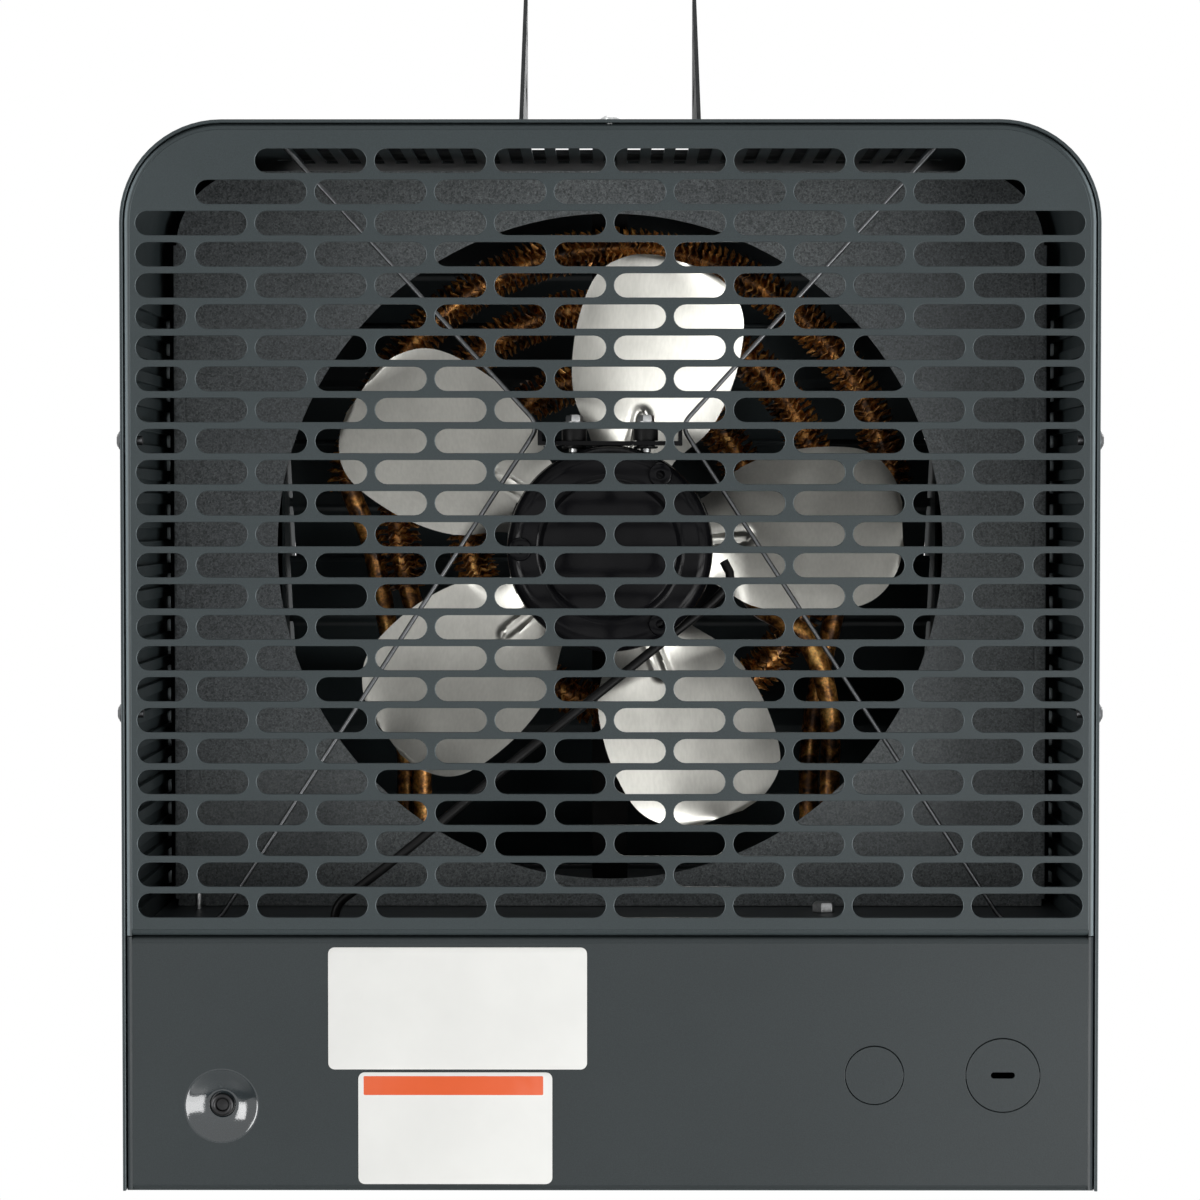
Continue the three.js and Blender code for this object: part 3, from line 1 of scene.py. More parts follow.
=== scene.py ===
"""Looks of the ceiling mounted fan heater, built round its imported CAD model.

Shapes are drawn in millimetres in the cabinet's own frame, with x = 0 on its middle, y = 0 on the
intake grille's outer face and z = 0 under it, and every piece is moved to the row frame in metres.
"""
import math

import bmesh
import bpy
from mathutils import Matrix, Quaternion, Vector, noise


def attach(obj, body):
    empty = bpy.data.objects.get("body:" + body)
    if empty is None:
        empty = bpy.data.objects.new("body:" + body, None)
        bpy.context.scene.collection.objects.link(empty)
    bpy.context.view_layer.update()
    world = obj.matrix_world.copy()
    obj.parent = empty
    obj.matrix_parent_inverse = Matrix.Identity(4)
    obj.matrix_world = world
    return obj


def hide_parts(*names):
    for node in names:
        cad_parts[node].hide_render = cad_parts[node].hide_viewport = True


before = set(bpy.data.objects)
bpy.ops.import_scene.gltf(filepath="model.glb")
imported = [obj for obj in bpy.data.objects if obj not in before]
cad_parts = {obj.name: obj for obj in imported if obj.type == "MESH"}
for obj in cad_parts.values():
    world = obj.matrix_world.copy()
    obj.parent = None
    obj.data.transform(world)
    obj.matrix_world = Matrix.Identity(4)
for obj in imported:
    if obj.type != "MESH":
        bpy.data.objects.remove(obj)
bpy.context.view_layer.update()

PIVOT_Y = 128
PIVOT_Z = 448
MM = 0.001


def row(point):
    """A cabinet point in millimetres, in the row frame in metres."""
    x, y, z = point
    return Vector((x * MM, (y - PIVOT_Y) * MM, (z - PIVOT_Z) * MM))


# ---- camera, light and floor ----

CAMERA = (-0.4, -1200, 255)
CAMERA_PITCH = 1.6
CAMERA_YAW = 0.16
LENS_PX = 3222
PHOTO_PX = 1200
SENSOR = 36

camera_data = bpy.data.cameras.new("camera")
camera_data.sensor_width = SENSOR
camera_data.lens = LENS_PX / PHOTO_PX * SENSOR
camera_data.clip_start = 0.05
camera_data.clip_end = 50
camera = bpy.data.objects.new("camera", camera_data)
bpy.context.collection.objects.link(camera)
camera.location = row(CAMERA)
camera.rotation_euler = (math.radians(90 - CAMERA_PITCH), 0, math.radians(CAMERA_YAW))
bpy.context.scene.camera = camera
bpy.context.scene.view_settings.view_transform = "Standard"


def area_light(name, place, aim, size, watts):
    """A soft rectangular lamp at a place in metres, turned to look at a point."""
    data = bpy.data.lights.new(name, "AREA")
    data.shape = "RECTANGLE"
    data.size, data.size_y = size
    data.energy = watts
    lamp = bpy.data.objects.new(name, data)
    bpy.context.collection.objects.link(lamp)
    lamp.location = place
    lamp.rotation_euler = (Vector(aim) - Vector(place)).to_track_quat("-Z", "Y").to_euler()


MIDDLE = (0, 0, -0.22)
area_light("key", (1.4, -1.8, -0.9), MIDDLE, (1.5, 1.2), 39)
area_light("fill", (-1.5, -1.7, -0.4), MIDDLE, (0.8, 1.0), 20)
area_light("top", (0, -0.1, 1.5), MIDDLE, (1.6, 1.2), 8)
area_light("back", (0.9, 1.8, 0.5), MIDDLE, (1.3, 1.3), 15)

AMBIENT = 0.04


def build_world():
    """White where a camera, glossy or transmission ray meets it, and a dim cool light for the rest."""
    world = bpy.data.worlds.new("studio")
    bpy.context.scene.world = world
    world.use_nodes = True
    tree = world.node_tree
    tree.nodes.clear()
    out = tree.nodes.new("ShaderNodeOutputWorld")
    shades = []
    for color, strength in (((0.95, 0.97, 1, 1), AMBIENT), ((1, 1, 1, 1), 1)):
        shade = tree.nodes.new("ShaderNodeBackground")
        shade.inputs["Color"].default_value = color
        shade.inputs["Strength"].default_value = strength
        shades.append(shade.outputs[0])
    path = tree.nodes.new("ShaderNodeLightPath")
    white = path.outputs["Is Camera Ray"]
    for kind in ("Is Transmission Ray", "Is Glossy Ray"):
        either = tree.nodes.new("ShaderNodeMath")
        either.operation = "MAXIMUM"
        tree.links.new(white, either.inputs[0])
        tree.links.new(path.outputs[kind], either.inputs[1])
        white = either.outputs[0]
    blend = tree.nodes.new("ShaderNodeMixShader")
    for source, target in zip((white, *shades), blend.inputs):
        tree.links.new(source, target)
    tree.links.new(blend.outputs[0], out.inputs["Surface"])


build_world()

# ---- materials ----


class Paint:
    """A principled material with procedural colour, roughness and relief."""

    def __init__(self, name, roughness, metallic=0.0, coat=0.0, shine=0.5):
        self.material = bpy.data.materials.new(name)
        self.material.use_nodes = True
        self.tree = self.material.node_tree
        self.shader = self.tree.nodes["Principled BSDF"]
        self.fill(self.shader, {"Metallic": metallic, "Roughness": roughness, "Coat Weight": coat,
                                "Coat Roughness": 0.15, "Specular IOR Level": shine})
        self.place = self.node("TexCoord", {}).outputs["Object"]

    def fill(self, node, values):
        for socket, value in values.items():
            node.inputs[socket].default_value = value
        return node

    def node(self, kind, values):
        return self.fill(self.tree.nodes.new(f"ShaderNode{kind}"), values)

    def link(self, source, target):
        self.tree.links.new(source, target)

    def stretched(self, scale):
        node = self.node("Mapping", {"Scale": scale})
        self.link(self.place, node.inputs["Vector"])
        return node.outputs["Vector"]

    def noise(self, scale, detail=3.0, stretch=None, distortion=0.0):
        node = self.node("TexNoise", {"Scale": scale, "Detail": detail, "Distortion": distortion})
        self.link(self.stretched(stretch) if stretch else self.place, node.inputs["Vector"])
        return node.outputs["Fac"]

    def cells(self, scale):
        node = self.node("TexVoronoi", {"Scale": scale})
        self.link(self.place, node.inputs["Vector"])
        return node.outputs["Color"]

    def ramp(self, source, stops):
        node = self.node("ValToRGB", {})
        band = node.color_ramp
        while len(band.elements) < len(stops):
            band.elements.new(0.5)
        for element, (place, color) in zip(band.elements, stops):
            element.position = place
            element.color = (*color, 1)
        self.link(source, node.inputs["Fac"])
        return node.outputs["Color"]

    def mix(self, factor, first, second, kind="MIX"):
        node = self.node("Mix", {})
        node.data_type = "RGBA"
        node.blend_type = kind
        for value, socket in ((factor, "Factor"), (first, "A"), (second, "B")):
            slot = [s for s in node.inputs if s.name == socket and s.enabled][0]
            if isinstance(value, (int, float)):
                slot.default_value = value
            elif isinstance(value, tuple):
                slot.default_value = (*value, 1)
            else:
                self.link(value, slot)
        return [s for s in node.outputs if s.enabled][0]

    def spread(self, source, low, high):
        node = self.node("MapRange", {"To Min": low, "To Max": high, "From Min": 0.3, "From Max": 0.7})
        self.link(source, node.inputs["Value"])
        return node.outputs["Result"]

    def calculated(self, operation, *sources):
        node = self.node("Math", {})
        node.operation = operation
        for source, target in zip(sources, node.inputs):
            self.link(source, target)
        return node.outputs[0]

    def color(self, source):
        self.link(source, self.shader.inputs["Base Color"])
        return self

    def rough(self, source, low, high):
        self.link(self.spread(source, low, high), self.shader.inputs["Roughness"])
        return self

    def relief(self, source, strength):
        """Fine unevenness of the surface, a fifth of a millimetre deep at full strength."""
        node = self.node("Bump", {"Strength": strength, "Distance": 0.2 * MM})
        self.link(source, node.inputs["Height"])
        self.link(node.outputs["Normal"], self.shader.inputs["Normal"])
        return self

    def painted_edge_highlight(self, base, highlight_color):
        """Base colour with a painted highlight where the surface turns from the front to a side, standing in
        for light caught by the rounded rim.
        """
        split = self.node("SeparateXYZ", {})
        self.link(self.node("NewGeometry", {}).outputs["Normal"], split.inputs["Vector"])
        both = self.calculated("MULTIPLY", split.outputs["X"], split.outputs["Y"])
        edge = self.ramp(self.calculated("ABSOLUTE", both), [(0.25, (0, 0, 0)), (0.5, (1, 1, 1))])
        return self.mix(edge, base, highlight_color)


def powder_coat(name, color, roughness=0.42, highlight_color=(0.13, 0.16, 0.17), shine=0.3):
    """Satin powder coat with its fine orange peel, a little unevenness and a painted highlight along its
    upright edges.
    """
    paint = Paint(name, roughness, shine=shine)
    light = tuple(c * 1.05 for c in color)
    dark = tuple(c * 0.95 for c in color)
    cloud = paint.ramp(paint.noise(14, 5), [(0.3, dark), (0.7, light)])
    grain = paint.ramp(paint.noise(2600, 2), [(0.35, (0.88, 0.88, 0.88)), (0.65, (1.1, 1.1, 1.1))])
    base = paint.mix(1.0, cloud, grain, "MULTIPLY")
    # The light colour on the upright edges is a painted highlight, set by the surface normal.
    paint.color(paint.painted_edge_highlight(base, highlight_color))
    paint.rough(paint.noise(60, 4), roughness - 0.02, roughness + 0.03)
    return paint.relief(paint.noise(1500, 3), 0.12).material


def galvanised_sheet(name, color):
    """Galvanised sheet with its fine spangle and faint oil stains."""
    paint = Paint(name, 0.45, 0.75)
    dark = tuple(c * 0.62 for c in color)
    light = tuple(min(1, c * 1.35) for c in color)
    spangle = paint.ramp(paint.cells(1300), [(0.15, dark), (0.5, color), (0.9, light)])
    fine = paint.ramp(paint.noise(1900, 3), [(0.35, (0.7, 0.7, 0.7)), (0.66, (1.2, 1.2, 1.2))])
    base = paint.mix(1.0, spangle, fine, "MULTIPLY")
    stain = paint.ramp(paint.noise(9, 5, distortion=0.6), [(0.35, (0.8, 0.8, 0.82)), (0.65, (1, 1, 1))])
    paint.color(paint.mix(1.0, base, stain, "MULTIPLY"))
    paint.rough(paint.cells(1300), 0.4, 0.62)
    return paint.relief(paint.noise(1100, 3), 0.22).material


def bright_metal(name, color, roughness, stretch=(1, 1, 1), grain=900, contrast=0.12, smears=0.86):
    """Bare or plated metal with grain along one direction and faint smears."""
    paint = Paint(name, roughness, 1.0)
    dark = tuple(c * (1 - contrast) for c in color)
    light = tuple(min(1, c * (1 + contrast / 2)) for c in color)
    lines = paint.ramp(paint.noise(grain, 3, stretch), [(0.35, dark), (0.65, light)])
    smear = paint.ramp(paint.noise(22, 3), [(0.3, (smears, smears, smears)), (0.62, (1, 1, 1))])
    paint.color(paint.mix(1.0, lines, smear, "MULTIPLY"))
    paint.rough(paint.noise(45, 3), roughness - 0.04, roughness + 0.08)
    return paint.relief(paint.noise(grain, 3, stretch), 0.06).material


def moulded(name, color, roughness, coat=0.0, shine=0.5):
    """Moulded plastic, rubber or enamel with its faint texture and dust."""
    paint = Paint(name, roughness, coat=coat, shine=shine)
    dust = tuple(c * 1.3 + 0.004 for c in color)
    paint.color(paint.ramp(paint.noise(55, 5), [(0.4, color), (0.75, dust)]))
    paint.rough(paint.noise(120, 4), roughness - 0.05, roughness + 0.1)
    return paint.relief(paint.noise(1900, 2), 0.14).material


def heated_copper(name):
    """Copper brazed finish, browned and gilded by heat."""
    paint = Paint(name, 0.34, 0.45)
    tone = paint.ramp(paint.noise(150, 5, distortion=1.2), [
        (0.34, (0.03, 0.015, 0.008)), (0.45, (0.24, 0.1, 0.028)),
        (0.55, (0.66, 0.29, 0.065)), (0.68, (1.0, 0.56, 0.16))])
    scale = paint.ramp(paint.noise(900, 4), [(0.35, (0.5, 0.5, 0.5)), (0.65, (1.25, 1.25, 1.25))])
    paint.color(paint.mix(1.0, tone, scale, "MULTIPLY"))
    paint.rough(paint.noise(160, 4), 0.24, 0.5)
    return paint.relief(paint.noise(900, 3), 0.25).material


def label_film(name, color):
    """A blank printed film, faintly yellowed and scuffed."""
    paint = Paint(name, 0.5)
    dull = tuple(c * 0.93 for c in color)
    paint.color(paint.ramp(paint.noise(30, 4), [(0.3, dull), (0.7, color)]))
    paint.rough(paint.noise(140, 3), 0.42, 0.6)
    return paint.relief(paint.noise(500, 2), 0.05).material


# Each powder coat's last colour, given or default, is the painted highlight on its upright edges.
SLATE = powder_coat("slate_powder_coat", (0.037, 0.048, 0.051), 0.42, (0.3, 0.36, 0.38))
COVER = powder_coat("dark_powder_coat", (0.028, 0.035, 0.037), 0.42, (0.04, 0.05, 0.055))
MATT_SLATE = powder_coat("matt_slate_coat", (0.037, 0.048, 0.051), 0.8)
# The dish has the cover's paint, glossier, and darker as painted shade for the dark room it reflects.
DISH_GLOSS = powder_coat("dish_coat_painted_dark", (0.021, 0.029, 0.033), 0.09, (0.021, 0.029, 0.033), 1.0)
INNER_DARK = powder_coat("inner_powder_coat", (0.034, 0.04, 0.043), 0.45)
GALVANISED = galvanised_sheet("galvanised_sheet", (0.12, 0.13, 0.132))
ALUMINIUM = bright_metal("stamped_aluminium", (0.66, 0.65, 0.6), 0.32, (1, 1, 0.3), 900, 0.05, 0.7)
# Lighter bare metal for the vents' far ends: partly a cut edge, partly a painted highlight.
CUT_EDGE_AND_HIGHLIGHT = bright_metal("cut_sheet_edge_and_painted_highlight", (0.3, 0.34, 0.35), 0.4)
ZINC = bright_metal("zinc_plate", (0.56, 0.57, 0.57), 0.3)
DARK_ZINC = bright_metal("dulled_wire", (0.14, 0.145, 0.15), 0.36)
BLACKENED = bright_metal("blackened_screw", (0.035, 0.035, 0.036), 0.34)
STEEL = bright_metal("ground_steel", (0.5, 0.51, 0.52), 0.24, (1, 12, 1))
LAMINATION = bright_metal("lamination_stack", (0.13, 0.13, 0.14), 0.45, (0.1, 14, 0.1))
BRONZE = bright_metal("sintered_bronze", (0.42, 0.28, 0.12), 0.42)
COPPER = heated_copper("heated_copper")
ENAMEL = moulded("gloss_black_enamel", (0.005, 0.005, 0.006), 0.14, 0.12, 0.05)
SOOT = moulded("heat_blackened_steel", (0.006, 0.006, 0.006), 0.6, 0.0, 0.05)
RUBBER = moulded("black_rubber", (0.01, 0.01, 0.01), 0.35, 0.0, 0.15)
BRACKET_PAINT = moulded("bracket_coat", (0.014, 0.016, 0.017), 0.5, 0.0, 0.12)
PLASTIC = moulded("black_moulding", (0.017, 0.018, 0.02), 0.42)
PHENOLIC = moulded("brown_moulding", (0.035, 0.022, 0.017), 0.5)
WINDING = bright_metal("enamelled_wire", (0.5, 0.2, 0.08), 0.35, (0.2, 9, 0.2), 800, 0.35)
LENS = moulded("red_lens_plastic", (0.5, 0.02, 0.012), 0.12, 0.6)
LABEL = label_film("blank_label_film", (0.86, 0.86, 0.83))
BAND = label_film("orange_band_film", (0.78, 0.11, 0.02))
PRINT = label_film("white_dial_print", (0.75, 0.76, 0.76))
FLOOR = label_film("pale_floor_paint", (0.86, 0.86, 0.85))

# ---- mesh building ----

CORNER_STEPS = 16
BEND_STEPS = 8
TUBE_SIDES = 20


class Solid:
    """Vertices and faces in cabinet millimetres."""

    def __init__(self):
        self.verts = []
        self.faces = []

    def add(self, verts, faces):
        start = len(self.verts)
        self.verts += [tuple(v) for v in verts]
        self.faces += [tuple(start + i for i in face) for face in faces]
        return self

    def join(self, other):
        return self.add(other.verts, other.faces)

    def moved(self, matrix):
        self.verts = [tuple(matrix @ Vector(v)) for v in self.verts]
        return self


# Where a flat drawing's two places and its place along its axis go.
FACING = {
    "x": lambda u, v, w: (w, u, v),
    "y": lambda u, v, w: (u, w, v),
    "z": lambda u, v, w: (u, v, w),
}


def rings(rows, row_closed=False):
    """A closed surface through rows of points, each row a ring as long as the next."""
    count = len(rows[0])
    faces = []
    for i in range(len(rows) if row_closed else len(rows) - 1):
        for j in range(count):
            k = (j + 1) % count
            n = (i + 1) % len(rows)
            faces.append((i * count + j, i * count + k, n * count + k, n * count + j))
    if not row_closed:
        faces.append(tuple(reversed(range(count))))
        faces.append(tuple((len(rows) - 1) * count + j for j in range(count)))
    return Solid().add([p for line in rows for p in line], faces)


def lathe(profile, centre, axis="y", segments=48, closed=False):
    """A turned solid. profile holds (radius, place along the axis), closed for a ring."""
    a, b = centre
    rows = []
    for radius, along in profile:
        line = []
        for i in range(segments):
            u = radius * math.cos(2 * math.pi * i / segments)
            v = radius * math.sin(2 * math.pi * i / segments)
            line.append(FACING[axis](a + u, b + v, along))
        rows.append(line)
    return rings(rows, row_closed=closed)


def arc(u, v, radius, start, end, segments):
    """Points along an arc, its angles in degrees."""
    angles = [math.radians(start + (end - start) * i / segments) for i in range(segments + 1)]
    return [(u + radius * math.cos(angle), v + radius * math.sin(angle)) for angle in angles]


def circle(u, v, radius, segments=64):
    """A circle's outline."""
    return arc(u, v, radius, 0, 360, segments)[:-1]


def rectangle(u0, u1, v0, v1, radius=0.0, segments=4):
    """A rectangle's outline, its corners rounded if it has a radius."""
    if not radius:
        return [(u0, v0), (u1, v0), (u1, v1), (u0, v1)]
    return (arc(u1 - radius, v0 + radius, radius, -90, 0, segments)
            + arc(u1 - radius, v1 - radius, radius, 0, 90, segments)
            + arc(u0 + radius, v1 - radius, radius, 90, 180, segments)
            + arc(u0 + radius, v0 + radius, radius, 180, 270, segments))


def slot(u, v, length, height, segments=10):
    """A round ended slot's outline."""
    reach = (length - height) / 2
    return (arc(u + reach, v, height / 2, -90, 90, segments)
            + arc(u - reach, v, height / 2, 90, 270, segments))


def arch(half, bottom, top, radius):
    """The cabinet's outline, from the lower left, with its two round upper corners."""
    return ([(-half, bottom), (half, bottom)]
            + arc(half - radius, top - radius, radius, 0, 90, CORNER_STEPS)
            + arc(radius - half, top - radius, radius, 90, 180, CORNER_STEPS))


def plate(facing, outline, holes, start, end, edge=0.15):
    """A flat plate with holes, its edges a little rounded, from start to end along its facing."""
    curve = bpy.data.curves.new("sheet", "CURVE")
    curve.dimensions = "2D"
    curve.fill_mode = "BOTH"
    curve.extrude = (end - start) / 2 - edge
    curve.bevel_depth = edge
    curve.bevel_resolution = 1
    curve.offset = -edge
    for loop in [outline, *holes]:
        spline = curve.splines.new("POLY")
        spline.points.add(len(loop) - 1)
        for point, (u, v) in zip(spline.points, loop):
            point.co = (u, v, 0, 1)
        spline.use_cyclic_u = True
    holder = bpy.data.objects.new("sheet", curve)
    bpy.context.collection.objects.link(holder)
    flat = bpy.data.meshes.new_from_object(holder.evaluated_get(bpy.context.evaluated_depsgraph_get()))
    bm = bmesh.new()
    bm.from_mesh(flat)
    bmesh.ops.remove_doubles(bm, verts=bm.verts, dist=1e-3)
    middle = (start + end) / 2
    turn = FACING[facing]
    solid = Solid().add([turn(v.co.x, v.co.y, v.co.z + middle) for v in bm.verts],
                        [[v.index for v in f.verts] for f in bm.faces])
    bm.free()
    bpy.data.objects.remove(holder)
    bpy.data.meshes.remove(flat)
    bpy.data.curves.remove(curve)
    return solid


def block(x, y, z, edge=0.3):
    """A box with rounded edges, from its three ranges."""
    bm = bmesh.new()
    bmesh.ops.create_cube(bm, size=1)
    for v in bm.verts:
        v.co = Vector([span[value > 0] for span, value in zip((x, y, z), v.co)])
    bmesh.ops.bevel(bm, geom=bm.edges[:], offset=edge, segments=2, profile=0.5, affect="EDGES")
    solid = Solid().add([v.co for v in bm.verts], [[v.index for v in f.verts] for f in bm.faces])
    bm.free()
    return solid


def smooth_path(points, steps):
    """A Catmull-Rom line through the points."""
    knots = [Vector(p) for p in points]
    knots = [2 * knots[0] - knots[1], *knots, 2 * knots[-1] - knots[-2]]
    line = []
    for i in range(1, len(knots) - 2):
        a, b, c, d = knots[i - 1:i + 3]
        for k in range(steps):
            t = k / steps
            line.append(0.5 * (2 * b + (c - a) * t + (2 * a - 5 * b + 4 * c - d) * t ** 2
                               + (3 * b - a - 3 * c + d) * t ** 3))
    return line + [knots[-2]]


def rounded_path(points, bend):
    """Straight runs whose corners are bent."""
    corners = [Vector(p) for p in points]
    line = [corners[0]]
    for before, corner, after in zip(corners, corners[1:], corners[2:]):
        start = corner + (before - corner).normalized() * bend
        end = corner + (after - corner).normalized() * bend
        for k in range(BEND_STEPS + 1):
            t = k / BEND_STEPS
            line.append(start.lerp(corner, t).lerp(corner.lerp(end, t), t))
    return line + [corners[-1]]


def resampled(line, step):
    """The same line, with its points a fixed step apart."""
    out, carry = [line[0]], 0.0
    for a, b in zip(line, line[1:]):
        length = (b - a).length
        place = step - carry
        while place <= length:
            out.append(a.lerp(b, place / length))
            place += step
        carry = length - (place - step)
    return out


def frames(line):
    """Point, tangent, normal and binormal along a line, without twist."""
    tangents = []
    for i in range(len(line)):
        tangents.append((line[min(i + 1, len(line) - 1)] - line[max(i - 1, 0)]).normalized())
    normal = tangents[0].orthogonal().normalized()
    out = []
    for i, (point, tangent) in enumerate(zip(line, tangents)):
        if i:
            normal = (tangents[i - 1].rotation_difference(tangent) @ normal).normalized()
        normal = (normal - tangent * normal.dot(tangent)).normalized()
        out.append((point, tangent, normal, tangent.cross(normal)))
    return out


def tube(line, radius, ends=0.0):
    """A round tube along a line; ends rounds off its last points."""
    rows = []
    stations = frames(line)
    for i, (point, tangent, normal, across) in enumerate(stations):
        size = radius
        if ends and i in (0, len(stations) - 1):
            size = radius - ends
        rows.append([point + size * (math.cos(a) * normal + math.sin(a) * across)
                     for a in (2 * math.pi * k / TUBE_SIDES for k in range(TUBE_SIDES))])
    return rings(rows)


def piece(name, solid, material, body="cabinet", replaces=(), angle=40):
    """An object of the scene, made from a solid in cabinet millimetres."""
    mesh = bpy.data.meshes.new(name)
    mesh.from_pydata([row(v) for v in solid.verts], [], solid.faces)
    bm = bmesh.new()
    bm.from_mesh(mesh)
    bmesh.ops.recalc_face_normals(bm, faces=bm.faces)
    bm.to_mesh(mesh)
    bm.free()
    for polygon in mesh.polygons:
        polygon.use_smooth = True
    mesh.set_sharp_from_angle(angle=math.radians(angle))
    mesh.materials.append(material)
    thing = bpy.data.objects.new(name, mesh)
    bpy.context.collection.objects.link(thing)
    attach(thing, body)
    if replaces:
        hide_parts(*replaces)
    return thing


def dress(node, material, bevel=0.0):
    """A kept CAD node's finish, and its edges eased."""
    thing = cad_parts[node]
    thing.data.materials.clear()
    thing.data.materials.append(material)
    if bevel:
        ease = thing.modifiers.new("eased_edges", "BEVEL")
        ease.width = bevel * MM
        ease.segments = 2
        ease.limit_method = "ANGLE"
        ease.angle_limit = math.radians(50)
        ease.harden_normals = True


# ---- cabinet ----

WIDTH = 365
HEIGHT = 400
DEPTH = 254
CORNER = 38
SHEET = 1.2
GAP = 0.3
HALF = WIDTH / 2
PANEL_HALF = HALF - SHEET - GAP
PANEL_TOP = HEIGHT - SHEET - GAP
PANEL_CORNER = CORNER - SHEET - GAP
GRILLE_BOTTOM = 95.9
COVER_TOP = 95.5
LIP_BEND = 2.2
LIP_STEPS = 5


def lip_section(depth):
    """A panel's edge turned back to a depth, as (inward, back) points."""
    turns = [math.radians(90 * k / LIP_STEPS) for k in range(1, LIP_STEPS + 1)]
    bend = [(LIP_BEND - LIP_BEND * math.sin(turn), LIP_BEND - LIP_BEND * math.cos(turn)) for turn in turns]
    return [(LIP_BEND, 0), *bend, (0, depth), (SHEET, depth), (SHEET, LIP_BEND + 0.2), (LIP_BEND, SHEET)]


def lip(half, bottom, top, radius, depth):
    """The rounded edge that turns a panel's rim back into the cabinet, along the arch."""
    outline = arch(half, bottom, top, radius)
    line = [*outline[1:], outline[0]]
    section = lip_section(depth)
    rows = []
    for i, (u, v) in enumerate(line):
        before = Vector(line[max(i - 1, 0)])
        after = Vector(line[min(i + 1, len(line) - 1)])
        along = (after - before).normalized()
        inward = Vector((-along.y, along.x))
        rows.append([(u + inward.x * d, y, v + inward.y * d) for d, y in section])
    return rings(rows)


def straight_lip(x_half, z, up, depth):
    """The same rounded edge along a panel's straight side, which turns at height z."""
    section = lip_section(depth)
    return rings([[(x, y, z + up * d) for d, y in section] for x in (-x_half, x_half)])


SIDE_VENTS = [103.6 + 9.45 * i for i in range(25)]
SIDE_VENT_Y = (21, 130)
ROOF_VENT_Y = (16, 142)
ROOF_VENTS = 27
ROOF_PITCH = 9.6
VENT_HALF = 2.6
HOOD_STATIONS = ((21, 2.9), (40, 2.64), (70, 2.23), (100, 1.82), (131, 1.4))
SCREW_Y = 5.1
UPPER_SCREW_Z = 281
LOWER_SCREW_Z = 179
BOLTS = ((-134, 78), (134, 78), (-134, 130), (134, 130))


def build_wrap():
    """The cabinet's wrap: a flat sheet with its vents, bent round the two upper corners."""
    side = HEIGHT - CORNER
    bend = math.pi / 2 * CORNER
    roof = WIDTH - 2 * CORNER
    total = 2 * side + 2 * bend + roof
    vents = []
    for i in range(ROOF_VENTS):
        place = total / 2 + (i - ROOF_VENTS // 2) * ROOF_PITCH
        vents.append(rectangle(place - VENT_HALF, place + VENT_HALF, *ROOF_VENT_Y, 0.5, 3))
    for z in SIDE_VENTS:
        for place in (z, total - z):
            vents.append(rectangle(place - VENT_HALF, place + VENT_HALF, *SIDE_VENT_Y, 0.5, 3))
    for place in (UPPER_SCREW_Z, LOWER_SCREW_Z, total - UPPER_SCREW_Z, total - LOWER_SCREW_Z, total / 2):
        vents.append(circle(place, SCREW_Y, 2.1, 16))
    for x, y in BOLTS:
        vents.append(circle(total / 2 + x, y, 3.2, 16))
    sheet = plate("z", rectangle(0, total, 0, DEPTH), vents, -SHEET, 0, 0.2)
    mesh = bpy.data.meshes.new("flat")
    mesh.from_pydata(sheet.verts, [], sheet.faces)
    bm = bmesh.new()
    bm.from_mesh(mesh)
    for start in (side, side + bend + roof):
        for k in range(CORNER_STEPS + 1):
            bmesh.ops.bisect_plane(bm, geom=bm.verts[:] + bm.edges[:] + bm.faces[:], dist=1e-4,
                                   plane_co=(start + bend * k / CORNER_STEPS, 0, 0), plane_no=(1, 0, 0))

    def folded(s, y, offset):
        """A point of the flat sheet on the bent one, at a distance along it from the left side's foot."""
        radius = CORNER + offset
        if s <= side:
            return (-HALF - offset, y, s)
        if s <= side + bend:
            turn = (s - side) / CORNER
            return (-HALF + CORNER - radius * math.cos(turn), y, side + radius * math.sin(turn))
        if s <= side + bend + roof:
            return (-HALF + CORNER + (s - side - bend), y, HEIGHT + offset)
        if s <= side + 2 * bend + roof:
            turn = (s - side - bend - roof) / CORNER
            return (HALF - CORNER + radius * math.sin(turn), y, side + radius * math.cos(turn))
        return (HALF + offset, y, total - s)

    solid = Solid().add([folded(*v.co) for v in bm.verts], [[v.index for v in f.verts] for f in bm.faces])
    bm.free()
    bpy.data.meshes.remove(mesh)
    for z in SIDE_VENTS:
        for sign in (-1, 1):
            solid.join(vent_hood(sign, z))
    return solid


def vent_hood(sign, z):
    """The scoop pressed out over a side vent, open towards the intake and closed at its far end."""
    rows = []
    for y, rise in HOOD_STATIONS:
        outer, inner = HALF + rise, HALF + rise - SHEET
        foot = HALF - 0.3
        section = [(-3.8, foot), (-3.8, outer - 0.5), (-3.3, outer), (3.3, outer), (3.8, outer - 0.5),
                   (3.8, foot), (VENT_HALF, foot), (VENT_HALF, inner), (-VENT_HALF, inner),
                   (-VENT_HALF, foot)]
        rows.append([(sign * x, y, z + v) for v, x in section])
    end = block((HALF - 0.9, HALF + 1.25), (130, 131.1), (z - 3.4, z + 3.4), 0.15)
    return rings(rows).join(end.moved(Matrix.Diagonal((sign, 1, 1, 1))))


def build_vent_edges():
    """A lighter strip at each side vent's far end: partly the sheet's bare cut edge, partly a painted
    highlight where the lamps leave it in shade.
    """
    edges = Solid()
    for z in SIDE_VENTS:
        for sign in (-1, 1):
            x = sign * HALF
            edges.join(block((x - 1.15, x + 1.15), (129.5, 129.95), (z - 2.5, z + 2.5), 0.05))
    return edges


piece("vent_cut_edges_painted_highlight", build_vent_edges(), CUT_EDGE_AND_HIGHLIGHT)
piece("cabinet_shell", build_wrap(), SLATE, replaces=["cabinet_wrap"], angle=20)

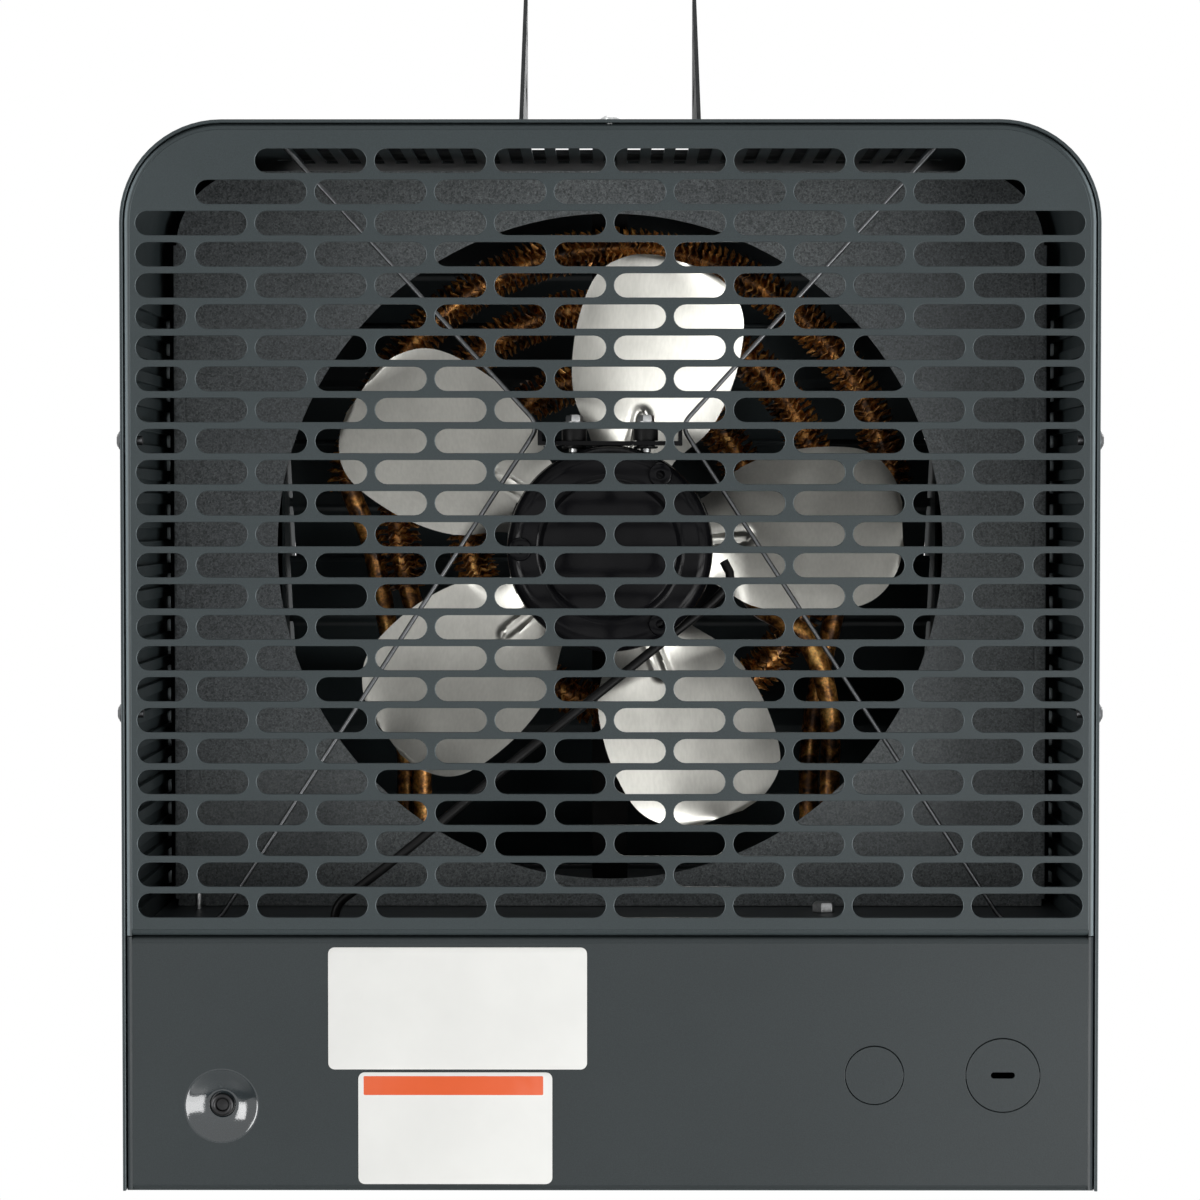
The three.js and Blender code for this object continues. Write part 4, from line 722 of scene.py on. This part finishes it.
SLOT_ROWS = 25
SLOT_PITCH = 44.5
SLOT_LENGTH = 41.5
SLOT_HEIGHT = 9
SHORT_SLOT = 19
ROW_PITCH = 11.56
FIRST_ROW = HEIGHT - 15.3


def grille_slots():
    """The grille's slots, row by row from the top, each other row half a slot over."""
    loops = []
    for index in range(SLOT_ROWS):
        z = FIRST_ROW - index * ROW_PITCH
        odd = index % 2 == 1
        full = 6 if index == 0 else 7 if odd else 8
        for i in range(full):
            loops.append(slot((i - (full - 1) / 2) * SLOT_PITCH, z, SLOT_LENGTH, SLOT_HEIGHT))
        if odd and index > 1:
            edge = (7 * SLOT_PITCH + SLOT_LENGTH) / 2
            for sign in (-1, 1):
                loops.append(slot(sign * (edge - SHORT_SLOT / 2), z, SHORT_SLOT, SLOT_HEIGHT))
    return loops


def build_grille():
    """The slotted grille with its rim turned back."""
    inset = LIP_BEND
    face = arch(PANEL_HALF - inset, GRILLE_BOTTOM + inset, PANEL_TOP - inset, PANEL_CORNER - inset)
    solid = plate("y", face, grille_slots(), 0, SHEET, 0.22)
    solid.join(lip(PANEL_HALF, GRILLE_BOTTOM, PANEL_TOP, PANEL_CORNER, 9))
    return solid.join(straight_lip(PANEL_HALF - inset, GRILLE_BOTTOM, 1, 9))


piece("intake_grille", build_grille(), SLATE, replaces=["rear_grille"], angle=20)

# ---- wiring cover ----

DISH = (-145.4, 32)
KNOCKOUTS = ((98.9, 43.6, 11.1, 0.0), (146.9, 43.6, 14.0, 9.0))


def build_cover():
    """The wiring compartment's cover, with its two knockouts still in place."""
    inset = LIP_BEND
    holes = [circle(*DISH, 13.4, 48)]
    discs = Solid()
    for x, z, radius, pry in KNOCKOUTS:
        holes.append(circle(x, z, radius, 64))
        inner = [slot(x, z, pry, 2.3, 8)] if pry else []
        discs.join(plate("y", circle(x, z, radius - 0.32, 64), inner, -0.18, SHEET - 0.18, 0.12))
        for sign in (-1, 1):
            tie = x + sign * radius
            discs.join(block((tie - 1.1, tie + 1.1), (0.35, SHEET), (z - 1.4, z + 1.4), 0.1))
    outline = rectangle(-PANEL_HALF + inset, PANEL_HALF - inset, inset, COVER_TOP - inset)
    solid = plate("y", outline, holes, 0, SHEET, 0.18)
    solid.join(discs)
    solid.join(straight_lip(PANEL_HALF - inset, COVER_TOP, -1, 15))
    solid.join(straight_lip(PANEL_HALF - inset, GAP, 1, 1.9))
    for sign in (-1, 1):
        section = [(inset, 0), (1.3, 0.2), (0.6, 0.65), (0.15, 1.3), (0, inset),
                   (0, 9), (SHEET, 9), (SHEET, 2.5), (inset, SHEET)]
        solid.join(rings([[(sign * (PANEL_HALF - d), y, z) for d, y in section] for z in (GAP, COVER_TOP)]))
    return solid


def build_dish():
    """The smooth dimple round the cover's screw."""
    dish = [(14.2, 0.05), (13.9, -0.02), (13.5, 0.02), (13.0, 0.22), (12.0, 0.8), (10.5, 1.68), (9.0, 2.4),
            (7.6, 2.9), (6.2, 3.3), (5.4, 3.45), (5.0, 3.4), (4.7, 3.6), (4.6, 4.4), (2.3, 4.4), (2.3, 4.8),
            (6.2, 4.8), (8.2, 4.4), (9.6, 3.6), (11.4, 2.5), (13.0, 1.6), (14.2, 1.0)]
    return lathe(dish, DISH, segments=96, closed=True)


piece("wiring_cover", build_cover(), COVER, replaces=["rear_cover"], angle=20)
piece("cover_dish", build_dish(), DISH_GLOSS, angle=60)


def hexagons(levels, x=0, y=0, turn=0):
    """The rows of an upright hexagonal solid, from (radius, height) levels."""
    angles = [math.radians(60 * k + turn) for k in range(6)]
    return [[(x + r * math.cos(angle), y + r * math.sin(angle), z) for angle in angles] for r, z in levels]


def hex_screw(place, axis_turn, radius, height, flange, shank, length):
    """A screw with a washer head, its head's underside at the origin and its head along +Z, then turned."""
    solid = lathe([(shank, -length), (shank, 0.02), (flange, 0), (flange, 0.5), (flange - 0.5, 0.9),
                   (radius * 0.86, 1.0)], (0, 0), "z", 32)
    solid.join(rings(hexagons(((radius, 0.8), (radius, height - 0.5), (radius - 0.5, height)))))
    return solid.moved(Matrix.Translation(place) @ axis_turn.to_matrix().to_4x4())


TO_LEFT = Quaternion((0, 1, 0), -math.pi / 2)
TO_RIGHT = Quaternion((0, 1, 0), math.pi / 2)
UPRIGHT = Quaternion()
SCREW = {"radius": 2.7, "height": 1.5, "flange": 3.6, "shank": 1.8, "length": 8}

for side, sign, turn in (("left", -1, TO_LEFT), ("right", 1, TO_RIGHT)):
    for level, z in (("upper", UPPER_SCREW_Z), ("lower", LOWER_SCREW_Z)):
        screw = hex_screw((sign * (HALF + GAP / 2), SCREW_Y, z), turn, **SCREW)
        piece(f"side_screw_{side}_{level}", screw, DARK_ZINC, replaces=[f"grille_screw_{side}_{level}"])
piece("roof_screw", hex_screw((0, SCREW_Y, HEIGHT + GAP / 2), UPRIGHT, **SCREW), ZINC,
      replaces=["grille_screw_top"])


def build_dish_screw():
    """A dark screw with a deep round socket, at the bottom of the dish."""
    head = [(2.0, 12.3), (2.0, 3.35), (4.2, 3.3), (4.2, 2.2), (4.0, 1.7), (3.5, 1.45), (3.0, 1.45),
            (2.5, 1.8), (2.2, 2.4), (2.1, 3.2), (0.4, 3.4)]
    return lathe(head, DISH, segments=48)


piece("dish_screw", build_dish_screw(), BLACKENED, replaces=["cover_screw"])

LABELS = {"upper": (-57, 68.7, 96.8, 45.8), "lower": (-57.9, 23.7, 72.6, 42)}
LABEL_Y = (-0.32, -0.08)
BAND_RECTANGLE = (-92.2, -25.0, 36.2, 43.3)
BAND_Y = (-0.35, -0.30)

for name, (x, z, width, height) in LABELS.items():
    outline = rectangle(x - width / 2, x + width / 2, z - height / 2, z + height / 2, 2.4, 6)
    piece(f"bare_sticker_{name}", plate("y", outline, [], *LABEL_Y, 0.05), LABEL,
          replaces=[f"blank_label_{name}"])
piece("bare_sticker_band", plate("y", rectangle(*BAND_RECTANGLE, 0.4, 2), [], *BAND_Y, 0.01), BAND)

# ---- inside sheets ----

FAN_Z = 240
ORIFICE_HALF = 175.3
ORIFICE_BOTTOM = 94.3
ORIFICE_TOP = 391.8
ORIFICE_CORNER = 30.8
ORIFICE_RADIUS = 134.7
ORIFICE_Y = (105, 106)
RETURN_Z = (98.3, 361)
FOOT_HALF = 165


def build_orifice():
    """The sheet with the fan's round hole, its side returns and its foot on the shelf."""
    edge = arch(ORIFICE_HALF, ORIFICE_BOTTOM, ORIFICE_TOP, ORIFICE_CORNER)
    solid = plate("y", edge, [circle(0, FAN_Z, ORIFICE_RADIUS, 128)], *ORIFICE_Y, 0.03)
    lip_profile = [(135.7, 105.5), (135.7, 111.0), (136.1, 111.0), (136.1, 105.5)]
    solid.join(lathe(lip_profile, (0, FAN_Z), segments=128, closed=True))
    section = [(0, 105.6), (0, 95.6), (0.3, 95.1), (0.8, 95.0), (4.5, 95.0), (4.5, 96.0), (1.2, 96.0),
               (1.0, 96.3), (1.0, 105.6)]
    for sign in (-1, 1):
        solid.join(rings([[(sign * (ORIFICE_HALF - d), y, z) for d, y in section] for z in RETURN_Z]))
    return solid.join(block((-FOOT_HALF, FOOT_HALF), (105.5, 115), (ORIFICE_BOTTOM, 95.3), 0.2))


piece("orifice_sheet", build_orifice(), GALVANISED, replaces=["orifice_panel"],
      angle=20)
dress("duct_liner", SOOT)
dress("compartment_shelf", INNER_DARK)
dress("base_pan", SLATE)
dress("element_support", SOOT, 0.2)

SHELF_SCREWS = ((17, 110), (-147, 110), (-166, 96))
SHELF_NUT = (85.5, 87)


def build_shelf_screws():
    """The screw tips and the nut that stand on the shelf."""
    tips = Solid()
    for place in SHELF_SCREWS:
        tips.join(lathe([(1.3, 94.1), (1.3, 99.6), (0.9, 101.2), (0.3, 102.6)], place, "z", 20))
    levels = ((4.3, 94.1), (4.6, 94.4), (4.6, 97.2), (4.0, 98.0))
    return tips.join(rings(hexagons(levels, *SHELF_NUT, 15)))


piece("shelf_screw_tips", build_shelf_screws(), ZINC)

LIMIT = (-128, 350)
LIMIT_HOLE_STEP = 14


def build_limit_disc():
    """The high limit switch: an eared flange and its round body."""
    x, z = LIMIT
    holes = [circle(x + sign * LIMIT_HOLE_STEP, z, 1.7, 16) for sign in (-1, 1)]
    solid = plate("y", slot(x, z, 34, 11, 10), holes, 106.3, 107.5, 0.15)
    body = [(11, 107.3), (11, 110.5), (10.2, 111.2), (10.2, 115.4), (9.6, 116.1)]
    return solid.join(lathe(body, LIMIT, segments=48))


piece("limit_disc", build_limit_disc(), PHENOLIC, replaces=["limit_thermostat"])
tabs = Solid()
for x in (-132.5, -126.5):
    tabs.join(block((x, x + 3), (115.8, 116.25), (344, 356), 0.1))
piece("limit_terminals", tabs, ZINC)

# ---- motor ----

BOSS_RING = 34.4
MOUNT_Y = 48
STUD_X = 13.8
ROD = ((138, 397.6), (128, 397.6), (27.5, 287.6), (152.3, 95.2), (162.3, 95.2))


def build_motor_shell():
    """The motor's rear case, with its three screw bosses and its row of raised pads."""
    profile = [(24.6, 28.0), (25.6, 28.25), (26.2, 28.9), (26.9, 30.2), (27.8, 30.8), (29, 31.0),
               (33.6, 31.0), (35.6, 31.35), (37.4, 32.3), (38.7, 33.7), (39.35, 35.4), (39.5, 37.5),
               (39.5, 57.2), (40.2, 57.5), (40.2, 58.9), (39.5, 59.2), (39.5, 84.0), (38.3, 84.0),
               (38.3, 37.5), (37.6, 34.7), (35.4, 32.6), (27.5, 32.2), (25.2, 29.2), (9.9, 29.2),
               (9.9, 37.2), (8.3, 37.2), (8.3, 29.3)]
    solid = lathe(profile, (0, FAN_Z), segments=96)
    for angle in (56, 180, -56):
        x = BOSS_RING * math.cos(math.radians(angle))
        z = FAN_Z + BOSS_RING * math.sin(math.radians(angle))
        boss = [(4.6, 32.5), (4.6, 30.0), (4.2, 29.5), (3.4, 29.3), (1.7, 29.3), (1.5, 29.6), (1.5, 32.5)]
        solid.join(lathe(boss, (x, z), segments=28, closed=True))
    for angle in range(0, 360, 45):
        turn = Matrix.Translation((0, 0, FAN_Z)) @ Matrix.Rotation(math.radians(angle + 22.5), 4, "Y")
        solid.join(block((40.1, 40.7), (62, 78), (-2.6, 2.6), 0.25).moved(turn))
    return solid


piece("motor_can", build_motor_shell(), ENAMEL, replaces=["motor_shell"], angle=30)
end_cap = [(8.3, 77.8), (10, 77.8), (10, 84.3), (38.9, 84.3), (39.5, 84.5), (39.5, 85.4), (38.9, 85.8),
           (16, 85.8), (13, 86.6), (10, 87.0), (8.3, 88.0), (4.3, 88.0), (4.3, 86.1), (8.3, 86.1)]
piece("motor_front_cap", lathe(end_cap, (0, FAN_Z), segments=96, closed=True), ENAMEL,
      replaces=["motor_end_cap"], angle=30)
dress("stator_core", LAMINATION)
dress("rotor_core", LAMINATION)
dress("winding_rear", WINDING)
dress("winding_front", WINDING)
dress("bearing_rear", BRONZE)
dress("bearing_front", BRONZE)
dress("motor_shaft", STEEL)
dress("motor_saddle", ENAMEL, 0.5)

ribbed = [(2.3, 278.7), (4.1, 278.7), (4.8, 279.1), (4.8, 279.6), (3.6, 279.6), (3.6, 281.8), (4.8, 281.8),
          (4.8, 287.9), (4.6, 288.3), (4.2, 288.5), (2.3, 288.5)]
for name, sign in (("left", -1), ("right", 1)):
    x = sign * STUD_X
    piece(f"rubber_grommet_{name}", lathe(ribbed, (x, MOUNT_Y), "z", 48, closed=True), RUBBER,
          replaces=[f"motor_grommet_{name}"])
    stud = lathe([(2, 277.4), (2, 288.8), (3.6, 288.8), (3.6, 289.1), (3.2, 289.2)], (x, MOUNT_Y), "z", 32)
    nut = hexagons(((3.1, 289.1), (3.4, 289.3), (3.4, 290.9), (3.0, 291.6)), x, MOUNT_Y, 12)
    stud.join(rings(nut)).join(lathe([(1.9, 291.3), (1.9, 291.7), (1.5, 291.9)], (x, MOUNT_Y), "z", 24))
    piece(f"stud_and_nut_{name}", stud, ZINC, replaces=[f"motor_stud_{name}"])
    rod = [(sign * across, MOUNT_Y, z) for across, z in ROD]
    piece(f"wire_mount_{name}", tube(rounded_path(rod, 5), 0.9, 0.2), DARK_ZINC,
          replaces=[f"motor_rod_{name}"])

# ---- fan ----

BLADE = [(16, 13), (27, 14), (40, 17.5), (56, 28.5), (76, 33.3), (96, 33), (108, 29), (116, 19.5), (119.2, 9)]
BLADES = 5
BLADE_STEP = 72
FIRST_BLADE = 4.4
BLADE_PITCH = 27
BLADE_COLUMNS = 36
FAN_Y = 110
FAN_SHEET = 1.2
RIB = {"start": 20, "end": 55, "half": 2.3, "height": 1.2}


def eased(low, high, value):
    """A smooth step from 0 at the low value to 1 at the high one."""
    t = min(1, max(0, (value - low) / (high - low)))
    return t * t * (3 - 2 * t)


def blade_depth(r, side, half):
    """The blade's place along the axis: flat at its root, then pitched and dished."""
    run = eased(27, 55, r)
    return FAN_Y + run * (3 * (1 - side * side) - 1.5 - math.tan(math.radians(BLADE_PITCH)) * side * half)


def rib(r, v):
    """The height of the hairpin rib pressed into a blade's root."""
    along = min(max(r, RIB["start"]), RIB["end"])
    distance = math.hypot(r - along, v)
    return RIB["height"] * math.exp(-(distance - RIB["half"]) ** 2) * eased(17, 22, r)


def build_blades():
    """The five pitched blades on their disc."""
    outline = smooth_path([(r, w, 0) for r, w in BLADE], 5)
    solid = Solid()
    for i in range(BLADES):
        angle = math.radians(FIRST_BLADE + BLADE_STEP * i)
        stations = resampled(outline, 1.1)
        stations.append(outline[-1])
        rows = []
        for station in stations:
            r, half = station.x, station.y
            front, back = [], []
            for column in range(BLADE_COLUMNS + 1):
                place = 2 * column / BLADE_COLUMNS - 1
                side = math.copysign(abs(place) ** 1.5, place)
                v = side * half
                x = r * math.cos(angle) - v * math.sin(angle)
                z = FAN_Z + r * math.sin(angle) + v * math.cos(angle)
                y = blade_depth(r, side, half) - rib(r, v)
                front.append((x, y - FAN_SHEET / 2, z))
                back.append((x, y + FAN_SHEET / 2, z))
            rows.append(front + back[::-1])
        solid.join(rings(rows))
    disc = lathe([(9.3, 109.35), (27.5, 109.35), (28, 109.6), (28, 110.4), (27.5, 110.65), (9.3, 110.65)],
                 (0, FAN_Z), segments=96, closed=True)
    return solid.join(disc)


piece("fan_wheel", build_blades(), ALUMINIUM, "fan", ["fan_blades"], 50)

RIVET_RING = 17.5


def build_hub():
    """The hub's sleeve and flange, with a rivet between each two blades."""
    profile = [(4.3, 98), (10.4, 98), (11, 98.6), (11, 106.1), (11.6, 106.6), (23.4, 106.6), (24, 107.2),
               (24, 109.1), (9, 109.1), (9, 117.4), (8.4, 118), (4.3, 118)]
    solid = lathe(profile, (0, FAN_Z), segments=64, closed=True)
    for i in range(BLADES):
        turn = math.radians(FIRST_BLADE + BLADE_STEP * (i + 0.5))
        solid.join(lathe([(2.6, 106.8), (2.6, 105.6), (2.2, 105.0), (1.2, 104.8)],
                         (RIVET_RING * math.cos(turn), FAN_Z + RIVET_RING * math.sin(turn)), segments=20))
    return solid


piece("riveted_hub", build_hub(), ZINC, "fan", ["fan_hub"])

# ---- heating elements ----

ELEMENT_Y = 160


def ring_point(angle, radius, x, z):
    """A point of an element's ring, at an angle from the middle (x, z)."""
    return (x + radius * math.cos(math.radians(angle)), ELEMENT_Y, z + radius * math.sin(math.radians(angle)))


FIN_PITCH = 2.9
FIN_FOOT = 3.9
FIN_REACH = 9.6
FIN_SHEET = 0.3
FIN_STEPS = 22


def fins(line, start, end):
    """A crinkled strip wound edgewise round the tube, between two places along it."""
    step = FIN_PITCH / FIN_STEPS
    stations = frames(resampled(line, step))[int(start / step):int(end / step)]
    rows = []
    for i, (point, tangent, normal, across) in enumerate(stations):
        turn = 2 * math.pi * i / FIN_STEPS
        out = math.cos(turn) * normal + math.sin(turn) * across
        first, second = noise.noise(point * 1.7), noise.noise(point * 2.9 + Vector((40, 0, 0)))
        wave = (1 if i % 2 else -1) * (0.7 + 0.5 * first) + 1.2 * second
        jag = FIN_REACH - (1.3 + 2.2 * second if i % 2 else 0.0) - 1.8 * abs(first)
        root = point + tangent * wave * 0.5
        tip = point + out * max(jag, 5.5) + tangent * (wave * 1.2 + 0.9 * first)
        foot = root + out * FIN_FOOT
        rows.append([foot - tangent * FIN_SHEET / 2, foot + tangent * FIN_SHEET / 2,
                     tip + tangent * FIN_SHEET / 3, tip - tangent * FIN_SHEET / 3])
    return rings(rows)


PATH_STEPS = 12
TUBE_RADIUS = 4.25


def element(name, node, legs, ring):
    """A heating element: its tube from leg to leg, with fins along its ring only."""
    line = smooth_path([*legs[0], *ring, *legs[1]], PATH_STEPS)
    lengths = [0.0]
    for a, b in zip(line, line[1:]):
        lengths.append(lengths[-1] + (b - a).length)
    start = lengths[PATH_STEPS * len(legs[0])] - 2
    end = lengths[PATH_STEPS * (len(legs[0]) + len(ring) - 1)] + 2
    bare = tube(resampled(line, 2.5) + [line[-1]], TUBE_RADIUS, 0.4)
    piece(f"{name}_tube", bare, COPPER, replaces=[node])
    piece(f"{name}_fins", fins(line, start, end), COPPER, angle=70)


OUTER_LEFT = [(-86.5, 168, 78), (-86.5, 168, 100), (-86.5, 168, 125), (-86.5, 168, 152), (-90.5, 168, 182),
              (-95.5, 168, 212), (-101.5, 166, 242)]
OUTER_RIGHT = [(101.5, 166, 242), (95.5, 168, 212), (88.8, 168, 182), (84.8, 168, 152), (84.8, 168, 125),
               (84.8, 168, 100), (84.8, 168, 78)]
LOOP_LEFT = [(-79.5, 160, 78), (-79.5, 160, 100), (-79.5, 160, 130), (-79.5, 160, 165), (-79.5, 160, 200)]
LOOP_RIGHT = [(61, 153, 216), (70, 144, 210), (80, 141, 203), (88, 141, 188), (92, 142, 168), (92, 146, 145),
              (92, 146, 122), (92, 146, 100), (92, 146, 78)]
OUTER_ANGLES = [172 - 8.2 * i for i in range(21)]
OUTER_RADIUS = 115
OUTER_CENTRE = (4, 250)
LOOP_ANGLES = [197 - 14.425 * i for i in range(41)]
LOOP_RADIUS = 89.5
LOOP_INNER = 60
LOOP_CENTRE = (0, 250.5)
LOOP_SHRINK_FROM = -60
LOOP_SHRINK_OVER = 90


def loop_radius(angle):
    """The loop's radius, which shrinks on its second turn to pass inside the first."""
    share = min(1, max(0, (LOOP_SHRINK_FROM - angle) / LOOP_SHRINK_OVER))
    return LOOP_RADIUS + (LOOP_INNER - LOOP_RADIUS) * share


element("outer_heater", "element_outer", (OUTER_LEFT, OUTER_RIGHT),
        [ring_point(angle, OUTER_RADIUS, *OUTER_CENTRE) for angle in OUTER_ANGLES])
element("loop_heater", "element_loop", (LOOP_LEFT, LOOP_RIGHT),
        [ring_point(angle, loop_radius(angle), *LOOP_CENTRE) for angle in LOOP_ANGLES])

# ---- motor lead ----

LEAD_RADIUS = 1.8
GROMMET = (-107, 50)
LEAD = [(44.5, 62, 235), (47, 61, 228), (40, 59, 219), (20, 57, 203), (-10, 55, 179), (-45, 53, 151),
        (-75, 51, 126), (-96, 50, 109.5), (-104, 50, 103.5), (-107, 50, 98), (-107, 50, 90), (-107, 50, 82)]
lead_line = smooth_path(LEAD, 3)
lead = piece("motor_cable", tube(lead_line, LEAD_RADIUS), RUBBER, replaces=["motor_lead"])
collar = [(2.3, 90.7), (7.0, 90.7), (7.5, 91.2), (7.5, 92.5), (5.5, 92.5), (5.5, 94.3), (7.5, 94.3),
          (7.5, 95.6), (7.0, 96.1), (2.3, 96.1)]
piece("shelf_grommet", lathe(collar, GROMMET, "z", 40, closed=True), RUBBER, replaces=["lead_grommet"])

# ---- front ----

dress("front_frame", MATT_SLATE, 0.3)
dress("control_panel", SLATE, 0.3)

LOUVRES = 5
FIRST_LOUVRE = 156.5
LOUVRE_PITCH = 51
LOUVRE_Y = 230
LOUVRE_LEAN = 62
LOUVRE_ENDS = ((-140.5, 0.99), (-140.2, 1), (140.2, 1), (140.5, 0.99))


def build_louvre(z):
    """A hemmed vane on its pins at height z, leaning down towards the outlet."""
    edge, half = 29.7, 0.7
    upper = [*arc(edge, 0, 1.3, -20, 140, 10), (4.5, half), (3.4, 1.2),
             *arc(0, 0, 3.0, 55, 125, 6), (-3.4, 1.2), (-4.5, half)]
    outline = upper + [(-y, -v) for y, v in upper]
    solid = rings([[(x, y * s, v * s) for y, v in outline] for x, s in LOUVRE_ENDS])
    solid.join(lathe([(1.7, -145.5), (2, -145.2), (2, 145.2), (1.7, 145.5)], (0, 0), "x", 24))
    lean = Matrix.Rotation(math.radians(-LOUVRE_LEAN), 4, "X")
    return solid.moved(Matrix.Translation((0, LOUVRE_Y, z)) @ lean)


for i in range(LOUVRES):
    vane = f"louvre_{i + 1}"
    piece(f"outlet_vane_{i + 1}", build_louvre(FIRST_LOUVRE + LOUVRE_PITCH * i), SLATE, vane, [vane],
          35)

KNOB = (104, 50)
KNOB_BASE = 254.6
KNOB_END = 270.4
RIB_DEPTH = 0.018


def ribbing(k, radius):
    """The share of a radius that is left in the grip's grooves."""
    return 1 - RIB_DEPTH * (k % 6 in (0, 1)) if radius < 19.5 else 1


def build_knob():
    """The ribbed knob and the bar across it that the fingers hold."""
    x0, z0 = KNOB
    base, end = KNOB_BASE, KNOB_END
    profile = ((20.6, base), (21, base + 0.4), (21, base + 2.6), (20.4, base + 3.0), (19.0, base + 3.2),
               (18.6, base + 4.2), (18.2, end - 6.5), (17.4, end - 6.1))
    rows = []
    for radius, y in profile:
        rows.append([(x0 + radius * ribbing(k, radius) * math.cos(math.radians(3 * k)), y,
                      z0 + radius * ribbing(k, radius) * math.sin(math.radians(3 * k))) for k in range(120)])
    solid = rings(rows)
    levels = ((4.5, 17.0, end - 6.6), (4.4, 16.8, end - 1.2), (4.0, 16.3, end - 0.4), (3.3, 15.6, end))
    grip = [[(x0 + u, y, z0 + v) for u, v in rectangle(-w, w, -h, h, 2.2, 4)] for w, h, y in levels]
    return solid.join(rings(grip))


TICKS = 28
TICK_STEP = 10
FIRST_TICK = -135
TICK_RADIUS = 24.5


def build_ticks():
    """The dial's plain marks, every third one long."""
    ticks = Solid()
    for i in range(TICKS):
        length = 4.6 if i % 3 == 0 else 2.6
        tick = block((-0.3, 0.3), (254.02, 254.12), (TICK_RADIUS, TICK_RADIUS + length), 0.02)
        turn = Matrix.Rotation(math.radians(FIRST_TICK + TICK_STEP * i), 4, "Y")
        ticks.join(tick.moved(Matrix.Translation((KNOB[0], 0, KNOB[1])) @ turn))
    return ticks


piece("heat_knob", build_knob(), PLASTIC, "knob", ["thermostat_knob"], 30)
piece("knob_pointer", block((103.5, 104.5), (270.3, 270.6), (53, 65), 0.1), PRINT, "knob")
dress("thermostat_shaft", STEEL)
piece("dial_marks", build_ticks(), PRINT)
dress("thermostat_body", PHENOLIC, 0.6)
PILOT = (46, 50)
lamp = [(6.5, 236.3), (6.5, 254.3), (8.1, 254.3), (8.5, 254.7), (8.5, 255.3), (8.0, 255.9), (6.5, 255.95),
        (6.2, 256.8), (5.2, 258.0), (3.4, 258.8), (1.2, 259.08)]
piece("indicator_lens", lathe(lamp, PILOT, segments=48), LENS, replaces=["pilot_lamp"])
dress("terminal_block", PHENOLIC, 0.4)
dress("control_relay", PLASTIC, 0.6)

# ---- hanging bracket ----

dress("mounting_bracket", BRACKET_PAINT, 0.25)
BRACKET_TOP = 402.2
BOLT = {"radius": 5.0, "height": 4.0, "flange": 5.6, "shank": 2.9, "length": 3.2}
for i, (x, y) in enumerate(BOLTS):
    bolt = hex_screw((x, y, BRACKET_TOP), UPRIGHT, **BOLT)
    piece(f"hex_bolt_{i + 1}", bolt, ZINC, replaces=[f"bracket_bolt_{i + 1}"])

# ---- floor ----

FLOOR_REACH = 3
FLOOR_HEIGHT = -1.6

floor_mesh = bpy.data.meshes.new("floor")
corners = rectangle(-FLOOR_REACH, FLOOR_REACH, -FLOOR_REACH, FLOOR_REACH)
floor_mesh.from_pydata([(x, y, FLOOR_HEIGHT) for x, y in corners], [], [(0, 1, 2, 3)])
floor_mesh.materials.append(FLOOR)
floor = bpy.data.objects.new("floor", floor_mesh)
bpy.context.collection.objects.link(floor)
